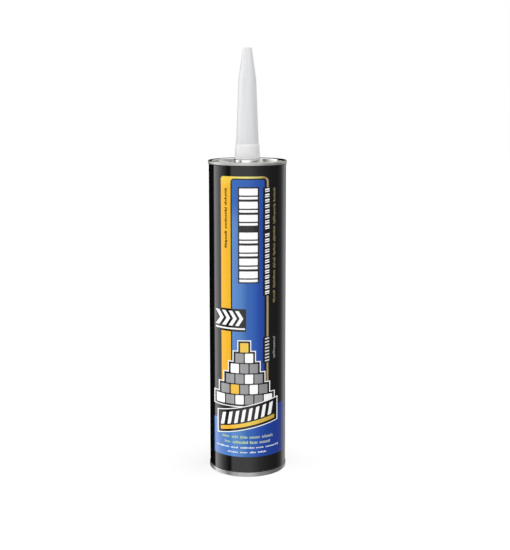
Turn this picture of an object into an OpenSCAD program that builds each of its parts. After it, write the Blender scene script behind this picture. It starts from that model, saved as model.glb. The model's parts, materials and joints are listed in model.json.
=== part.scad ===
// Adhesive cartridge for a hand gun, standing on its rear ring with the nozzle up.
// Millimetres, +Z up along the tube, origin at the centre of the base. The label's front faces -Y.

/* [Tube] */
// Outer diameter of the board tube
tube_d = 50.3; // [46:0.1:56]
// Wall of the board tube
tube_wall = 1.4; // [1:0.1:2]
// Height from the base to the top of the front seam
body_h = 207.6; // [200:0.2:240]
// Room between the tube's ends and the folds that hold them
end_gap = 0.2; // [0.1:0.1:0.6]

/* [Label] */
// Thickness of the paper label
label_t = 0.2; // [0.1:0.05:0.4]
// Thickness of the glue under the label
glue_t = 0.05; // [0.02:0.01:0.1]
// Width of the line at the back where the label's ends meet
label_joint = 0.4; // [0.2:0.1:1]
// Thickness of the printed ink over the black paper
ink_t = 0.1; // [0.05:0.05:0.2]
// Height of the paper's lower edge, inside the rear ring
label_low = 1.2; // [0.8:0.1:2]
// Distance from the top of the seam down to the paper's upper edge
label_drop = 1.8; // [1.4:0.1:2.4]

/* [Front end] */
// Thickness of the tinplate sheet
sheet_t = 0.35; // [0.25:0.05:0.5]
// Height of the front seam
seam_h = 2.8; // [2.2:0.1:4]
// Thickness of the hook outside the tube
hook_t = 0.5; // [0.3:0.05:0.7]
// Radius on the seam's top edges
seam_round = 0.45; // [0.2:0.05:0.6]
// Clearance between the folded sheet and the paper
fold_gap = 0.1; // [0.05:0.05:0.3]
// Depth of the front panel below the top of the seam
recess_depth = 3.3; // [2.4:0.1:6]
// Width of the groove round the front panel
groove_w = 1.4; // [1:0.1:3]
// Depth of the groove below the panel
groove_depth = 1.4; // [0.8:0.1:3]
// Diameter of the raised boss at the centre
boss_d = 17.7; // [17.2:0.1:22]
// Height of the boss above the panel
boss_h = 3.9; // [2:0.1:6]
// Outer diameter of the neck inside the nozzle
neck_d = 14; // [12:0.1:15]
// Height of the neck above the boss
neck_h = 7.8; // [5:0.1:8.4]

/* [Nozzle] */
// Length of the nozzle from the boss to its tip
nozzle_len = 71.8; // [50:0.1:90]
// Diameter at the foot of the skirt
skirt_foot_d = 16.8; // [16.2:0.1:17.2]
// Diameter at the top of the skirt
skirt_top_d = 15.6; // [15.4:0.1:16]
// Height of the skirt
skirt_h = 9.2; // [8.8:0.1:12]
// Diameter of the long taper just above the skirt
barrel_low_d = 14.7; // [14:0.1:15]
// Diameter where the long taper meets the tip's taper
barrel_top_d = 11.5; // [9:0.1:13]
// Length of the tip's steeper taper
tip_len = 20.2; // [10:0.1:30]
// Diameter of the flat tip
tip_d = 5.7; // [4:0.1:8]
// Chamfer round the flat tip
tip_chamfer = 0.4; // [0.2:0.1:0.8]
// Wall of the nozzle
nozzle_wall = 1.2; // [0.8:0.1:1.6]
// Thickness of the plastic that closes the tip
tip_wall = 1.6; // [1:0.1:3]
// Clearance between the nozzle and the neck
neck_gap = 0.05; // [0.02:0.01:0.1]
// Thickness of the foil over the neck's mouth
foil_t = 0.1; // [0.05:0.05:0.3]

/* [Rear ring] */
// Height of the rear ring outside the tube
ring_h = 2.9; // [2:0.1:5]
// Thickness of the ring's outer wall
ring_wall = 0.25; // [0.2:0.05:0.5]
// Thickness of the fold that the cartridge stands on
ring_foot = 0.5; // [0.3:0.05:1]
// Height of the ring's wall inside the tube
ring_inner_h = 3.6; // [2:0.1:6]
// Radius on the ring's outer foot edge
ring_round = 0.4; // [0.2:0.05:0.5]

/* [Piston] */
// Height of the piston's rear rim above the base
piston_z = 12; // [8:0.1:20]
// Length of the piston
piston_len = 14.5; // [10:0.1:20]
// Clearance between the piston's lips and the tube
piston_gap = 0.08; // [0.02:0.01:0.1]
// Height of each sealing lip
lip_h = 2.2; // [1:0.1:3.5]
// Depth of the waist between the lips
waist_depth = 0.6; // [0.3:0.1:1.2]
// Thickness of the piston's crown
crown_t = 2; // [1.2:0.1:3]
// Wall of the piston's skirt
piston_wall = 1.5; // [1:0.1:2.5]
// Number of ribs under the crown
rib_count = 6; // [3:1:12]
// Thickness of each rib
rib_t = 1.2; // [0.8:0.1:2.5]
// Depth of the ribs below the crown
rib_depth = 7; // [3:0.1:8]
// Diameter of the hub where the ribs meet
hub_d = 10; // [6:0.1:16]

/* [Adhesive] */
// Clearance between the adhesive column and the tube's wall
fill_gap = 0.1; // [0.05:0.05:0.3]
// Clearance between the adhesive column and the groove above it
fill_top_gap = 0.1; // [0.05:0.05:0.5]

/* [Printed panel] */
// Distance from the top of the seam down to the top of the yellow frame
frame_drop = 8.9; // [6:0.1:14]
// Height of the frame's lower end, behind the block motif
frame_low = 56; // [50:0.5:70]
// Overall width of the frame, seen from the front
frame_w = 30.6; // [28:0.1:34]
// Distance of the frame's middle to the left of the label's middle
frame_shift = 1.6; // [0:0.1:3]
// Width of the yellow band on the left
band_w = 6.2; // [5:0.1:8]
// Height of the yellow band along the top
top_band_h = 2.2; // [1:0.1:4]
// Width of the thin gold line on the right
side_line_w = 1.7; // [1:0.1:3]
// Width of the black line between the frame and the blue panel
key_line = 0.6; // [0.3:0.1:1.2]
// Corner radius at the frame's top left
frame_round_left = 1.7; // [1:0.1:3]
// Corner radius at the frame's top right
frame_round_right = 3.4; // [2.5:0.1:5]
// Corner radius of the blue panel
panel_round = 1.4; // [0.8:0.1:2.5]

/* [Printed blocks] */
// Distance from the top of the seam down to the first headline block
headline_drop = 16.5; // [14:0.1:22]
// Blocks in the upper headline group
upper_blocks = 3; // [1:1:4]
// Blocks in the lower headline group
lower_blocks = 4; // [1:1:4]
// Distance from one headline block to the next
block_pitch = 8.4; // [6:0.1:9]
// Width of the headline blocks
headline_w = 11.8; // [8:0.1:14]
// Distance of the headline's middle to the right of the label's middle
headline_shift = 0.8; // [0:0.1:2]
// Gap between headline blocks
block_gap = 1.5; // [0.8:0.1:2.5]
// Extra gap between the two headline groups
group_gap = 3; // [1:0.1:6]
// Height of the thin bar at the foot of each headline block
thin_bar = 1.6; // [1:0.1:2]
// Black line between a block and its thin bar
thin_gap = 0.9; // [0.5:0.1:1.2]
// Black margin round the headline
headline_margin = 0.9; // [0.4:0.1:1.5]

/* [Printed rows] */
// Letter-sized marks in the upper white row's two groups
upper_marks = [8, 12]; // [4:1:12]
// Distance from one mark to the next
mark_pitch = 3.4; // [2.4:0.1:3.5]
// Gap between two marks
mark_gap = 0.8; // [0.4:0.1:1.2]
// Width of a mark, seen from the front
mark_w = 2.7; // [1.5:0.1:3]
// Extra width of every third mark
mark_extra = 0.8; // [0:0.1:1]
// Distance from the top of the seam down to the lower white row
lower_row_drop = 114; // [105:0.5:120]
// Marks in the lower white row
lower_marks = 8; // [4:1:10]
// Distance from one mark of the lower row to the next
lower_pitch = 2.1; // [1.4:0.1:2.4]
// Height of one small printed word
word_h = 1.5; // [0.8:0.1:2]
// Gap between two small printed words
word_gap = 1.3; // [0.6:0.1:2]
// Distance from the frame's right edge to the column of gold words
gold_offset = 2.9; // [1.6:0.1:3.2]

/* [Printed motifs] */
// Courses in the stacked block motif
course_count = 6; // [3:1:6]
// Height of one course
course_h = 7; // [5:0.1:7.5]
// Length of one motif block
course_block = 6.2; // [4:0.1:6.4]
// Black joint between motif blocks
motif_joint = 0.8; // [0.4:0.1:1.5]
// Height of the motif's lowest course above the base
motif_low = 49; // [48.5:0.1:52]
// Distance of the motif's middle to the left of the label's middle
motif_shift = 2; // [0:0.1:3]
// Black margin round a motif
motif_margin = 0.8; // [0.4:0.1:1.5]
// Width of the white line round a motif
motif_edge = 0.6; // [0.3:0.1:1.2]
// Height of the arrow tag's middle above the base
tag_z = 105.5; // [100:0.5:112]
// Height of the arrow tag
tag_h = 15; // [10:0.1:18]
// Reach of the tag to the left of the yellow frame
tag_out = 4.6; // [2:0.1:5]
// Reach of the tag over the blue panel
tag_in = 9.4; // [4:0.1:9.8]
// Arrows in the tag
arrow_count = 4; // [2:1:5]
// Black margin above the arrows
arrow_margin = 1.4; // [0.8:0.1:2.5]
// Thickness of the rule under the arrows
arrow_rule_h = 1; // [0.5:0.1:1.5]

/* [Lower band] */
// Height of the blue band's lower edge above the base
band_low = 13.6; // [8:0.1:16]
// Height of the blue band's upper edge at the middle of the label
band_high = 43; // [40:0.1:46]
// Rise of the slanting edges from left to right, per millimetre
slant = 0.22; // [0.1:0.01:0.3]
// Height of the striped ribbon's middle above the base
ribbon_z = 40.6; // [38:0.1:42]
// Height of the striped ribbon
ribbon_h = 13.4; // [8:0.1:14]
// Half of the ribbon's width, seen from the front
ribbon_half = 18.4; // [14:0.1:20]
// White stripes in the ribbon
stripe_count = 8; // [4:1:12]
// Lean of the ribbon's stripes
stripe_lean = 2.2; // [1:0.1:2.6]
// Height of the yellow rule under the stripes
rule_h = 2.6; // [1:0.1:4]
// Heights of the four rows of small print in the band
row_heights = [27.2, 23.6, 20, 16.2]; // [15:0.1:30]

/* [Hidden] */
$fn = 96;
eps = 0.01;

tube_r = tube_d / 2;
bore_r = tube_r - tube_wall;
label_in_r = tube_r + glue_t;
label_r = label_in_r + label_t;
ink_r = label_r + ink_t;
label_high = body_h - label_drop;

// Front end
chuck_r = bore_r - fold_gap;
hook_r = label_r + fold_gap;
seam_r = hook_r + hook_t;
seam_low = body_h - seam_h;
panel_top = body_h - recess_depth;
panel_low = panel_top - sheet_t;
groove_low = panel_low - groove_depth;
groove_in_r = chuck_r - sheet_t - groove_w;
boss_r = boss_d / 2;
boss_top = panel_top + boss_h;
neck_r = neck_d / 2;
neck_top = boss_top + neck_h;

// Nozzle
skirt_top = boss_top + skirt_h;
nozzle_top = boss_top + nozzle_len;
barrel_top = nozzle_top - tip_len;
socket_r = neck_r + neck_gap;
socket_top = neck_top + foil_t + neck_gap;

// Rear end
tube_low = ring_foot + end_gap;
tube_high = body_h - sheet_t - end_gap;

// Piston and adhesive
piston_r = bore_r - piston_gap;
piston_top = piston_z + piston_len;
fill_top = groove_low - fill_top_gap;

// Panel outline, seen from the front
frame_left = -frame_shift - frame_w / 2;
frame_right = -frame_shift + frame_w / 2;
frame_high = body_h - frame_drop;
panel_left = frame_left + band_w + key_line;
panel_right = frame_right - side_line_w - key_line;
panel_high = frame_high - top_band_h - key_line;

// Headline, white row and small rows
headline_high = body_h - headline_drop;
headline_left = headline_shift - headline_w / 2;
upper_low = headline_high - upper_blocks * block_pitch;
lower_high = upper_low - group_gap;
headline_low = lower_high - lower_blocks * block_pitch + block_gap;
row_left = frame_right - side_line_w / 2 - mark_w / 2;
row_high = headline_high;
row_second = row_high - (upper_marks[0] + 0.5) * mark_pitch;
row_low = row_second - upper_marks[1] * mark_pitch;
lower_row_high = body_h - lower_row_drop;
lower_row_low = lower_row_high - lower_marks * lower_pitch;
gold_left = frame_right + gold_offset;
band_words_left = frame_left + band_w / 2 - word_h / 2;

// Lengths of the small printed words, from the top down or from left to right
gold_words = [9, 13, 10, 8, 7, 12, 8];
band_words = [11, 14, 11];
small_words = [15];
row_words = [[5, 4, 5, 7, 7], [4, 10, 5, 7], [8, 5, 9, 5, 8], [7, 5, 4, 6]];

// Motifs
motif_mid = -motif_shift;
ribbon_clear = motif_margin + motif_edge + key_line;
tag_left = frame_left - tag_out;
tag_right = panel_left + tag_in;
arrow_pitch = (tag_right - tag_left - 2 * motif_margin) / (arrow_count + 0.5);
stripe_pitch = (2 * ribbon_half - 2 * motif_margin) / stripe_count;

// Rectangle in the radius and height plane, from one radius and height to another
module section(r0, r1, z0, z1) {
    translate([r0, z0]) square([r1 - r0, z1 - z0]);
}

// Rectangle with both upper corners rounded
module round_top(r0, r1, z0, z1, round_r) {
    section(r0, r1, z0, z1 - round_r);
    section(r0 + round_r, r1 - round_r, z0, z1);
    translate([r0 + round_r, z1 - round_r]) circle(round_r);
    translate([r1 - round_r, z1 - round_r]) circle(round_r);
}

// Upright panel seen from the front, with its own radius at each upper corner
module arch(x0, x1, z0, z1, left_r, right_r) {
    section(x0, x1, z0, z1 - max(left_r, right_r));
    section(x0, (x0 + x1) / 2, z0, z1 - left_r);
    section((x0 + x1) / 2, x1, z0, z1 - right_r);
    section(x0 + left_r, x1 - right_r, z0, z1);
    translate([x0 + left_r, z1 - left_r]) circle(left_r);
    translate([x1 - right_r, z1 - right_r]) circle(right_r);
}

// Slanting strip across the label, centred on height mid_z
module slant_strip(half_w, mid_z, strip_h) {
    rise = slant * half_w;
    polygon([
        [-half_w, mid_z - rise - strip_h / 2],
        [half_w, mid_z + rise - strip_h / 2],
        [half_w, mid_z + rise + strip_h / 2],
        [-half_w, mid_z - rise + strip_h / 2],
    ]);
}

// Length of the words before word i, each followed by a gap
function run(words, i) = i <= 0 ? 0 : run(words, i - 1) + words[i - 1] + word_gap;

// Column of small words from high_z downwards
module word_column(words, left_x, high_z) {
    for (i = [0 : len(words) - 1])
        section(left_x, left_x + word_h, high_z - run(words, i) - words[i], high_z - run(words, i));
}

// Row of small words centred on the label
module word_row(words, mid_z) {
    left_x = -(run(words, len(words)) - word_gap) / 2;
    for (i = [0 : len(words) - 1])
        section(left_x + run(words, i), left_x + run(words, i) + words[i],
            mid_z - word_h / 2, mid_z + word_h / 2);
}

// Column of letter-sized marks, with every third one a little wider
module mark_column(count, pitch, high_z) {
    for (i = [0 : count - 1])
        section(row_left - (i % 3 == 1 ? mark_extra : 0), row_left + mark_w,
            high_z - (i + 1) * pitch + mark_gap, high_z - i * pitch);
}

// Ink laid on the front of the label in the outline of its children
module front_ink() {
    intersection() {
        difference() {
            cylinder(h = body_h, r = ink_r);
            translate([0, 0, -eps]) cylinder(h = body_h + 2 * eps, r = label_r);
        }
        rotate([90, 0, 0]) linear_extrude(ink_r + 1) children();
    }
}

// Black ground under the headline
module headline_ground() {
    section(headline_left - headline_margin, headline_left + headline_w + headline_margin,
        headline_low - headline_margin, headline_high + headline_margin);
}

// One headline block: a thick bar with a thin one under it
module headline_block(high_z) {
    low_z = high_z - block_pitch + block_gap;
    section(headline_left, headline_left + headline_w, low_z, low_z + thin_bar);
    section(headline_left, headline_left + headline_w, low_z + thin_bar + thin_gap, high_z);
}

module headline_blocks() {
    for (i = [0 : upper_blocks - 1]) headline_block(headline_high - i * block_pitch);
    for (i = [0 : lower_blocks - 1]) headline_block(lower_high - i * block_pitch);
}

// Outline of the stacked blocks, grown by a margin
module motif_outline(grow) {
    for (i = [0 : course_count - 1]) {
        half = (course_count - i) * course_block / 2;
        section(motif_mid - half - grow, motif_mid + half + grow,
            motif_low + i * course_h - grow, motif_low + (i + 1) * course_h + grow);
    }
}

// Colour of one motif block: 0 grey, 1 white, 2 yellow
function block_ink(course, i) =
    course == course_count - 1 || (course == 1 && i == 1) ? 2 : (course * 2 + i * 3) % 5 < 2 ? 1 : 0;

// Blocks of the stacked motif in one colour, with the ribbon in front of them
module motif_blocks(ink) {
    difference() {
        for (course = [0 : course_count - 1])
            for (i = [0 : course_count - 1 - course])
                if (block_ink(course, i) == ink)
                    translate([motif_mid + (i - (course_count - course) / 2) * course_block,
                        motif_low + course * course_h])
                        translate([motif_joint / 2, motif_joint / 2])
                            square([course_block - motif_joint, course_h - motif_joint]);
        ribbon(ribbon_clear);
    }
}

// Black ground of the arrow tag
module tag_ground() {
    section(tag_left, tag_right, tag_z - tag_h / 2, tag_z + tag_h / 2);
}

// Arrows of the tag, with a rule under them
module tag_arrows() {
    rule_low = tag_z - tag_h / 2 + arrow_margin;
    arrow_low = rule_low + arrow_rule_h + arrow_margin;
    arrow_high = tag_z + tag_h / 2 - arrow_margin;
    arrow_mid = (arrow_low + arrow_high) / 2;
    for (i = [0 : arrow_count - 1])
        translate([tag_left + motif_margin + i * arrow_pitch, 0])
            polygon([[0, arrow_low], [arrow_pitch * 0.55, arrow_low], [arrow_pitch * 1.25, arrow_mid],
                [arrow_pitch * 0.55, arrow_high], [0, arrow_high], [arrow_pitch * 0.7, arrow_mid]]);
    section(tag_left + motif_margin, tag_right - motif_margin, rule_low, rule_low + arrow_rule_h);
}

// Ribbon across the label, grown by a margin
module ribbon(grow) {
    slant_strip(ribbon_half + grow, ribbon_z, ribbon_h + 2 * grow);
}

// White stripes in the upper part of the ribbon
module ribbon_stripes() {
    low = ribbon_z - ribbon_h / 2 + rule_h + 2 * motif_margin;
    high = ribbon_z + ribbon_h / 2 - motif_margin;
    for (i = [0 : stripe_count - 1]) {
        x0 = -ribbon_half + motif_margin + i * stripe_pitch;
        x1 = x0 + stripe_pitch - motif_margin;
        polygon([[x0, low + slant * x0], [x1 - stripe_lean, low + slant * x1], [x1, high + slant * x1],
            [x0 + stripe_lean, high + slant * x0]]);
    }
}

// Yellow rule along the foot of the ribbon
module ribbon_rule() {
    slant_strip(ribbon_half - motif_margin, ribbon_z - ribbon_h / 2 + motif_margin + rule_h / 2, rule_h);
}

// All printed shapes that lie over the blue and yellow fields
module overprint() {
    motif_outline(motif_margin + motif_edge);
    ribbon(motif_margin);
    tag_ground();
}

module body_tube() {
    color("burlywood") difference() {
        translate([0, 0, tube_low]) cylinder(h = tube_high - tube_low, r = tube_r);
        cylinder(h = body_h, r = bore_r);
    }
}

module label_wrap() {
    color([0.07, 0.07, 0.08]) difference() {
        translate([0, 0, label_low]) cylinder(h = label_high - label_low, r = label_r);
        cylinder(h = body_h, r = label_in_r);
        translate([-label_joint / 2, 0, 0]) cube([label_joint, label_r + 1, body_h]);
    }
}

// Blue band all round the label, with its slanting upper edge
module lower_band() {
    intersection() {
        difference() {
            cylinder(h = body_h, r = ink_r);
            translate([0, 0, -eps]) cylinder(h = body_h + 2 * eps, r = label_r);
            translate([-label_joint / 2, 0, 0]) cube([label_joint, ink_r + 1, body_h]);
        }
        rotate([90, 0, 0]) translate([0, 0, -ink_r - 1]) linear_extrude(2 * ink_r + 2)
            polygon([[-ink_r - 1, band_low], [ink_r + 1, band_low],
                [ink_r + 1, band_high + slant * (ink_r + 1)],
                [-ink_r - 1, band_high - slant * (ink_r + 1)]]);
    }
}

module print_blue() {
    color([0.24, 0.42, 0.7]) {
        front_ink() difference() {
            arch(panel_left, panel_right, frame_low, panel_high, panel_round, panel_round);
            headline_ground();
            overprint();
            section(row_left - mark_extra - key_line, ink_r, row_low, row_high);
            section(row_left - mark_extra - key_line, ink_r, lower_row_low, lower_row_high);
        }
        difference() {
            lower_band();
            rotate([90, 0, 0]) linear_extrude(ink_r + 1) {
                ribbon(motif_margin + motif_edge);
                for (i = [0 : 3]) word_row(row_words[i], row_heights[i]);
            }
        }
    }
}

module print_yellow() {
    color([0.97, 0.75, 0.2]) front_ink() {
        difference() {
            arch(frame_left, frame_right, frame_low, frame_high, frame_round_left, frame_round_right);
            arch(frame_left + band_w, frame_right - side_line_w, frame_low - 1,
                frame_high - top_band_h, panel_round + key_line, panel_round + key_line);
            section(panel_right, ink_r, 0, body_h);
            word_column(band_words, band_words_left, headline_high);
            overprint();
        }
        motif_blocks(2);
        ribbon_rule();
    }
}

module print_gold() {
    color([0.62, 0.53, 0.3]) front_ink() {
        difference() {
            intersection() {
                arch(frame_left, frame_right, frame_low, frame_high, frame_round_left,
                    frame_round_right);
                section(panel_right, ink_r, 0, body_h);
            }
            arch(frame_left + band_w, frame_right - side_line_w, frame_low - 1,
                frame_high - top_band_h, panel_round + key_line, panel_round + key_line);
            section(0, ink_r, row_low, row_high + key_line);
            section(0, ink_r, lower_row_low, lower_row_high + key_line);
            overprint();
        }
        word_column(gold_words, gold_left, headline_high);
    }
}

module print_white() {
    color("white") front_ink() {
        headline_blocks();
        mark_column(upper_marks[0], mark_pitch, row_high);
        mark_column(upper_marks[1], mark_pitch, row_second);
        mark_column(lower_marks, lower_pitch, lower_row_high);
        difference() {
            motif_outline(motif_margin + motif_edge);
            motif_outline(motif_margin);
            ribbon(ribbon_clear);
        }
        motif_blocks(1);
        difference() {
            ribbon(motif_margin + motif_edge);
            ribbon(motif_margin);
        }
        ribbon_stripes();
        tag_arrows();
        for (i = [2 : 3]) word_row(row_words[i], row_heights[i]);
    }
}

module print_grey() {
    color([0.66, 0.66, 0.67]) front_ink() {
        motif_blocks(0);
        word_column(small_words, gold_left, lower_row_high);
    }
}

module print_green() {
    color([0.66, 0.76, 0.55]) front_ink() {
        for (i = [0 : 1]) word_row(row_words[i], row_heights[i]);
    }
}

module top_end() {
    color([0.78, 0.78, 0.77]) rotate_extrude() {
        difference() {
            round_top(chuck_r - sheet_t, seam_r, seam_low, body_h, seam_round);
            section(chuck_r, hook_r, seam_low - 1, body_h - sheet_t);
        }
        section(chuck_r - sheet_t, chuck_r, groove_low, seam_low + eps);
        section(groove_in_r - sheet_t, chuck_r, groove_low, groove_low + sheet_t);
        section(groove_in_r - sheet_t, groove_in_r, groove_low, panel_top);
        section(boss_r - sheet_t, groove_in_r, panel_low, panel_top);
        difference() {
            round_top(neck_r - sheet_t - seam_round, boss_r, panel_low, boss_top, seam_round);
            section(neck_r - sheet_t - 2 * seam_round, boss_r - sheet_t, panel_low - 1,
                boss_top - sheet_t);
            section(0, neck_r - sheet_t, panel_low, boss_top + 1);
        }
        section(neck_r - sheet_t, neck_r, boss_top - sheet_t, neck_top);
    }
}

module nozzle() {
    color([0.93, 0.94, 0.94]) rotate_extrude() polygon([
        [socket_r, boss_top],
        [skirt_foot_d / 2, boss_top],
        [skirt_top_d / 2, skirt_top],
        [barrel_low_d / 2, skirt_top + (skirt_top_d - barrel_low_d)],
        [barrel_top_d / 2, barrel_top],
        [tip_d / 2, nozzle_top - tip_chamfer],
        [tip_d / 2 - tip_chamfer, nozzle_top],
        [0, nozzle_top],
        [0, nozzle_top - tip_wall],
        [tip_d / 2 - nozzle_wall, nozzle_top - tip_wall],
        [barrel_top_d / 2 - nozzle_wall, barrel_top],
        [barrel_low_d / 2 - nozzle_wall, skirt_top],
        [barrel_low_d / 2 - nozzle_wall, socket_top],
        [socket_r, socket_top],
    ]);
}

module nozzle_foil() {
    color("silver") translate([0, 0, neck_top]) cylinder(h = foil_t, r = neck_r - neck_gap);
}

module rear_ring() {
    outer_r = hook_r + ring_wall;
    color([0.75, 0.75, 0.75]) rotate_extrude() {
        difference() {
            mirror([0, 1]) round_top(chuck_r - sheet_t, outer_r, -ring_h, 0, ring_round);
            section(chuck_r, hook_r, ring_foot, ring_h + 1);
        }
        section(chuck_r - sheet_t, chuck_r, ring_h - eps, ring_inner_h);
    }
}

module piston() {
    waist_r = piston_r - waist_depth;
    inner_r = waist_r - piston_wall;
    crown_low = piston_top - crown_t;
    color([0.9, 0.9, 0.88]) {
        rotate_extrude() {
            difference() {
                section(0, piston_r, piston_z, piston_top);
                section(waist_r, piston_r + 1, piston_z + lip_h, piston_top - lip_h);
                section(-1, inner_r, piston_z - 1, crown_low);
            }
            section(0, hub_d / 2, crown_low - rib_depth, crown_low + eps);
        }
        for (i = [0 : rib_count - 1])
            rotate(i * 360 / rib_count) translate([hub_d / 4, -rib_t / 2, crown_low - rib_depth])
                cube([inner_r + eps - hub_d / 4, rib_t, rib_depth + eps]);
    }
}

module adhesive_fill() {
    color([0.86, 0.8, 0.68]) translate([0, 0, piston_top])
        cylinder(h = fill_top - piston_top, r = bore_r - fill_gap);
}

body_tube();
label_wrap();
print_blue();
print_yellow();
print_gold();
print_white();
print_grey();
print_green();
top_end();
nozzle();
nozzle_foil();
rear_ring();
piston();
adhesive_fill();
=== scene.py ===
import json
import logging
import math
import random
from collections.abc import Callable, Sequence
from dataclasses import dataclass, field
from enum import Enum

import bpy
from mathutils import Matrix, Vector

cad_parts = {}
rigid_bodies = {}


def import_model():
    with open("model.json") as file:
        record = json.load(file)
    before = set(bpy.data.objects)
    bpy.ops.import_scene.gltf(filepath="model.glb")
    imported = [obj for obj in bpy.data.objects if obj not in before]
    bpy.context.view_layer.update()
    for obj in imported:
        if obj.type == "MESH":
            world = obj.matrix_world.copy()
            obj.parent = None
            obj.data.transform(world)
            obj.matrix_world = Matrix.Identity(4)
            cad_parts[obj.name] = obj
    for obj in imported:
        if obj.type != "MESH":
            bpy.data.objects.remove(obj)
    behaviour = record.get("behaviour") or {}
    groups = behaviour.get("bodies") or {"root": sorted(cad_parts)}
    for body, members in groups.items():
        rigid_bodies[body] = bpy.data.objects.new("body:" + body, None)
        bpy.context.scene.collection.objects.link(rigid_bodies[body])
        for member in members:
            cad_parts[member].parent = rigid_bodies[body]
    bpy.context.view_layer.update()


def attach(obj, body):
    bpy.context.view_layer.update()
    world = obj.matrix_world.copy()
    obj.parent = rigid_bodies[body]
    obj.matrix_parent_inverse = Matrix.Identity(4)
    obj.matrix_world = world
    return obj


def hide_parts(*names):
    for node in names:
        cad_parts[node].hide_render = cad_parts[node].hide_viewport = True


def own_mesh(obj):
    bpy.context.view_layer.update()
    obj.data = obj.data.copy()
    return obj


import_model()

# Metres in a millimetre, and the distance in metres within which vertices are merged.
MM = 0.001
MERGE = 1e-6

# The label paper: its outer radius, the angle in degrees between its ends at the back, and its facets.
LABEL_R = 25.4
BACK_GAP_TURN = 0.9
LABEL_STEPS = 240

# Print laid on the tube: the angle in degrees between the cuts that let it bend, the cuts on each side of
# the front, and how deep the ink reaches into the paper.
CUT_ANGLE = 1.5
CUTS = 44
INK_SINK = 0.01

# Edges sharper than this angle in degrees stay sharp, roundings take up to this share of a side, and a
# folded sheet's corner grows by the inverse of this share at most.
SHARP_ANGLE = 32.0
ROUNDING_SHARE = 0.48
CORNER_SHARE = 0.5

log = logging.getLogger("cartridge")

Colour = tuple[float, float, float]
Point = tuple[float, float]
Corner = tuple[float, float, float]
Stop = tuple[float, Colour]


class Body(Enum):
    """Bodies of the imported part."""

    CARTRIDGE = "cartridge"
    PISTON = "piston"


class Slot(Enum):
    """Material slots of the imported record."""

    BOARD = "board"
    PAPER = "label_paper"
    BLUE = "ink_blue"
    YELLOW = "ink_yellow"
    GOLD = "ink_gold"
    WHITE = "ink_white"
    GREY = "ink_grey"
    GREEN = "ink_green"
    TINPLATE = "tinplate"
    NOZZLE = "nozzle_plastic"
    FOIL = "foil"
    PISTON = "piston_plastic"
    ADHESIVE = "adhesive"


class Level(Enum):
    """Height of a layer of ink above the label paper, in millimetres."""

    FIELD = 0.03
    EDGE = 0.04
    PLATE = 0.05
    BLOCK = 0.06
    RIBBON_EDGE = 0.07
    RIBBON_PLATE = 0.08
    TOP = 0.09


# Modelling by hand


def clear_selection() -> None:
    """Goes to object mode with nothing selected."""
    if bpy.context.mode != "OBJECT":
        bpy.ops.object.mode_set(mode="OBJECT")
    bpy.ops.object.select_all(action="DESELECT")


def begin(name: str) -> bpy.types.Object:
    """Starts an empty piece and leaves it open in edit mode.

    Args:
        name: Name of the piece.

    Returns:
        The new object, with no vertices yet.
    """
    clear_selection()
    bpy.ops.mesh.primitive_plane_add(size=MM)
    piece = bpy.context.object
    piece.name = piece.data.name = name
    bpy.ops.object.mode_set(mode="EDIT")
    bpy.ops.mesh.delete(type="VERT")
    return piece


def choose(piece: bpy.types.Object) -> None:
    """Selects one piece alone and makes it the active one.

    Args:
        piece: Mesh object.
    """
    clear_selection()
    piece.select_set(True)
    bpy.context.view_layer.objects.active = piece


def work_on(piece: bpy.types.Object) -> None:
    """Opens a piece in edit mode with all of it selected.

    Args:
        piece: Mesh object to edit.
    """
    choose(piece)
    bpy.ops.object.mode_set(mode="EDIT")
    bpy.ops.mesh.select_all(action="SELECT")


def smooth(piece: bpy.types.Object) -> None:
    """Shades a piece smooth, except along its sharp edges.

    Args:
        piece: Mesh object.
    """
    choose(piece)
    bpy.ops.object.shade_smooth_by_angle(angle=math.radians(SHARP_ANGLE))


def join(pieces: Sequence[bpy.types.Object], name: str) -> bpy.types.Object:
    """Joins meshes into the first one.

    Args:
        pieces: Mesh objects.
        name: Name of the joined piece.

    Returns:
        The joined object.
    """
    clear_selection()
    for piece in pieces:
        piece.select_set(True)
    bpy.context.view_layer.objects.active = pieces[0]
    if len(pieces) > 1:
        bpy.ops.object.join()
    pieces[0].name = pieces[0].data.name = name
    return pieces[0]


def rounded(corners: Sequence[Corner], closed: bool = False, steps: int = 5) -> list[Point]:
    """Rounds the corners of an outline.

    Args:
        corners: Radius or x, height, and the rounding of each corner.
        closed: Whether the last corner joins the first.
        steps: Points along each rounding.

    Returns:
        The points of the outline.
    """
    points: list[Point] = []
    count = len(corners)
    for index, (x, z, radius) in enumerate(corners):
        here = Vector((x, z))
        if radius <= 0 or (not closed and index in (0, count - 1)):
            points.append((x, z))
            continue
        before = Vector(corners[index - 1][:2]) - here
        after = Vector(corners[(index + 1) % count][:2]) - here
        half = before.angle(after) / 2
        side = min(before.length, after.length)
        reach = min(radius / math.tan(half), ROUNDING_SHARE * side)
        radius = reach * math.tan(half)
        centre = here + (before.normalized() + after.normalized()).normalized() * (radius / math.sin(half))
        first = here + before.normalized() * reach - centre
        last = here + after.normalized() * reach - centre
        turn = first.angle_signed(last)
        for step in range(steps + 1):
            angle = -turn * step / steps
            cos, sin = math.cos(angle), math.sin(angle)
            x = centre.x + first.x * cos - first.y * sin
            points.append((x, centre.y + first.x * sin + first.y * cos))
    return points


def wall_section(inner: float, outer: float, low: float, high: float) -> list[Point]:
    """Lists the corners of a plain tube's section.

    Args:
        inner: Inner radius.
        outer: Outer radius.
        low: Height of its foot.
        high: Height of its top.

    Returns:
        Radius and height of each corner.
    """
    return [(inner, low), (outer, low), (outer, high), (inner, high)]


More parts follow.
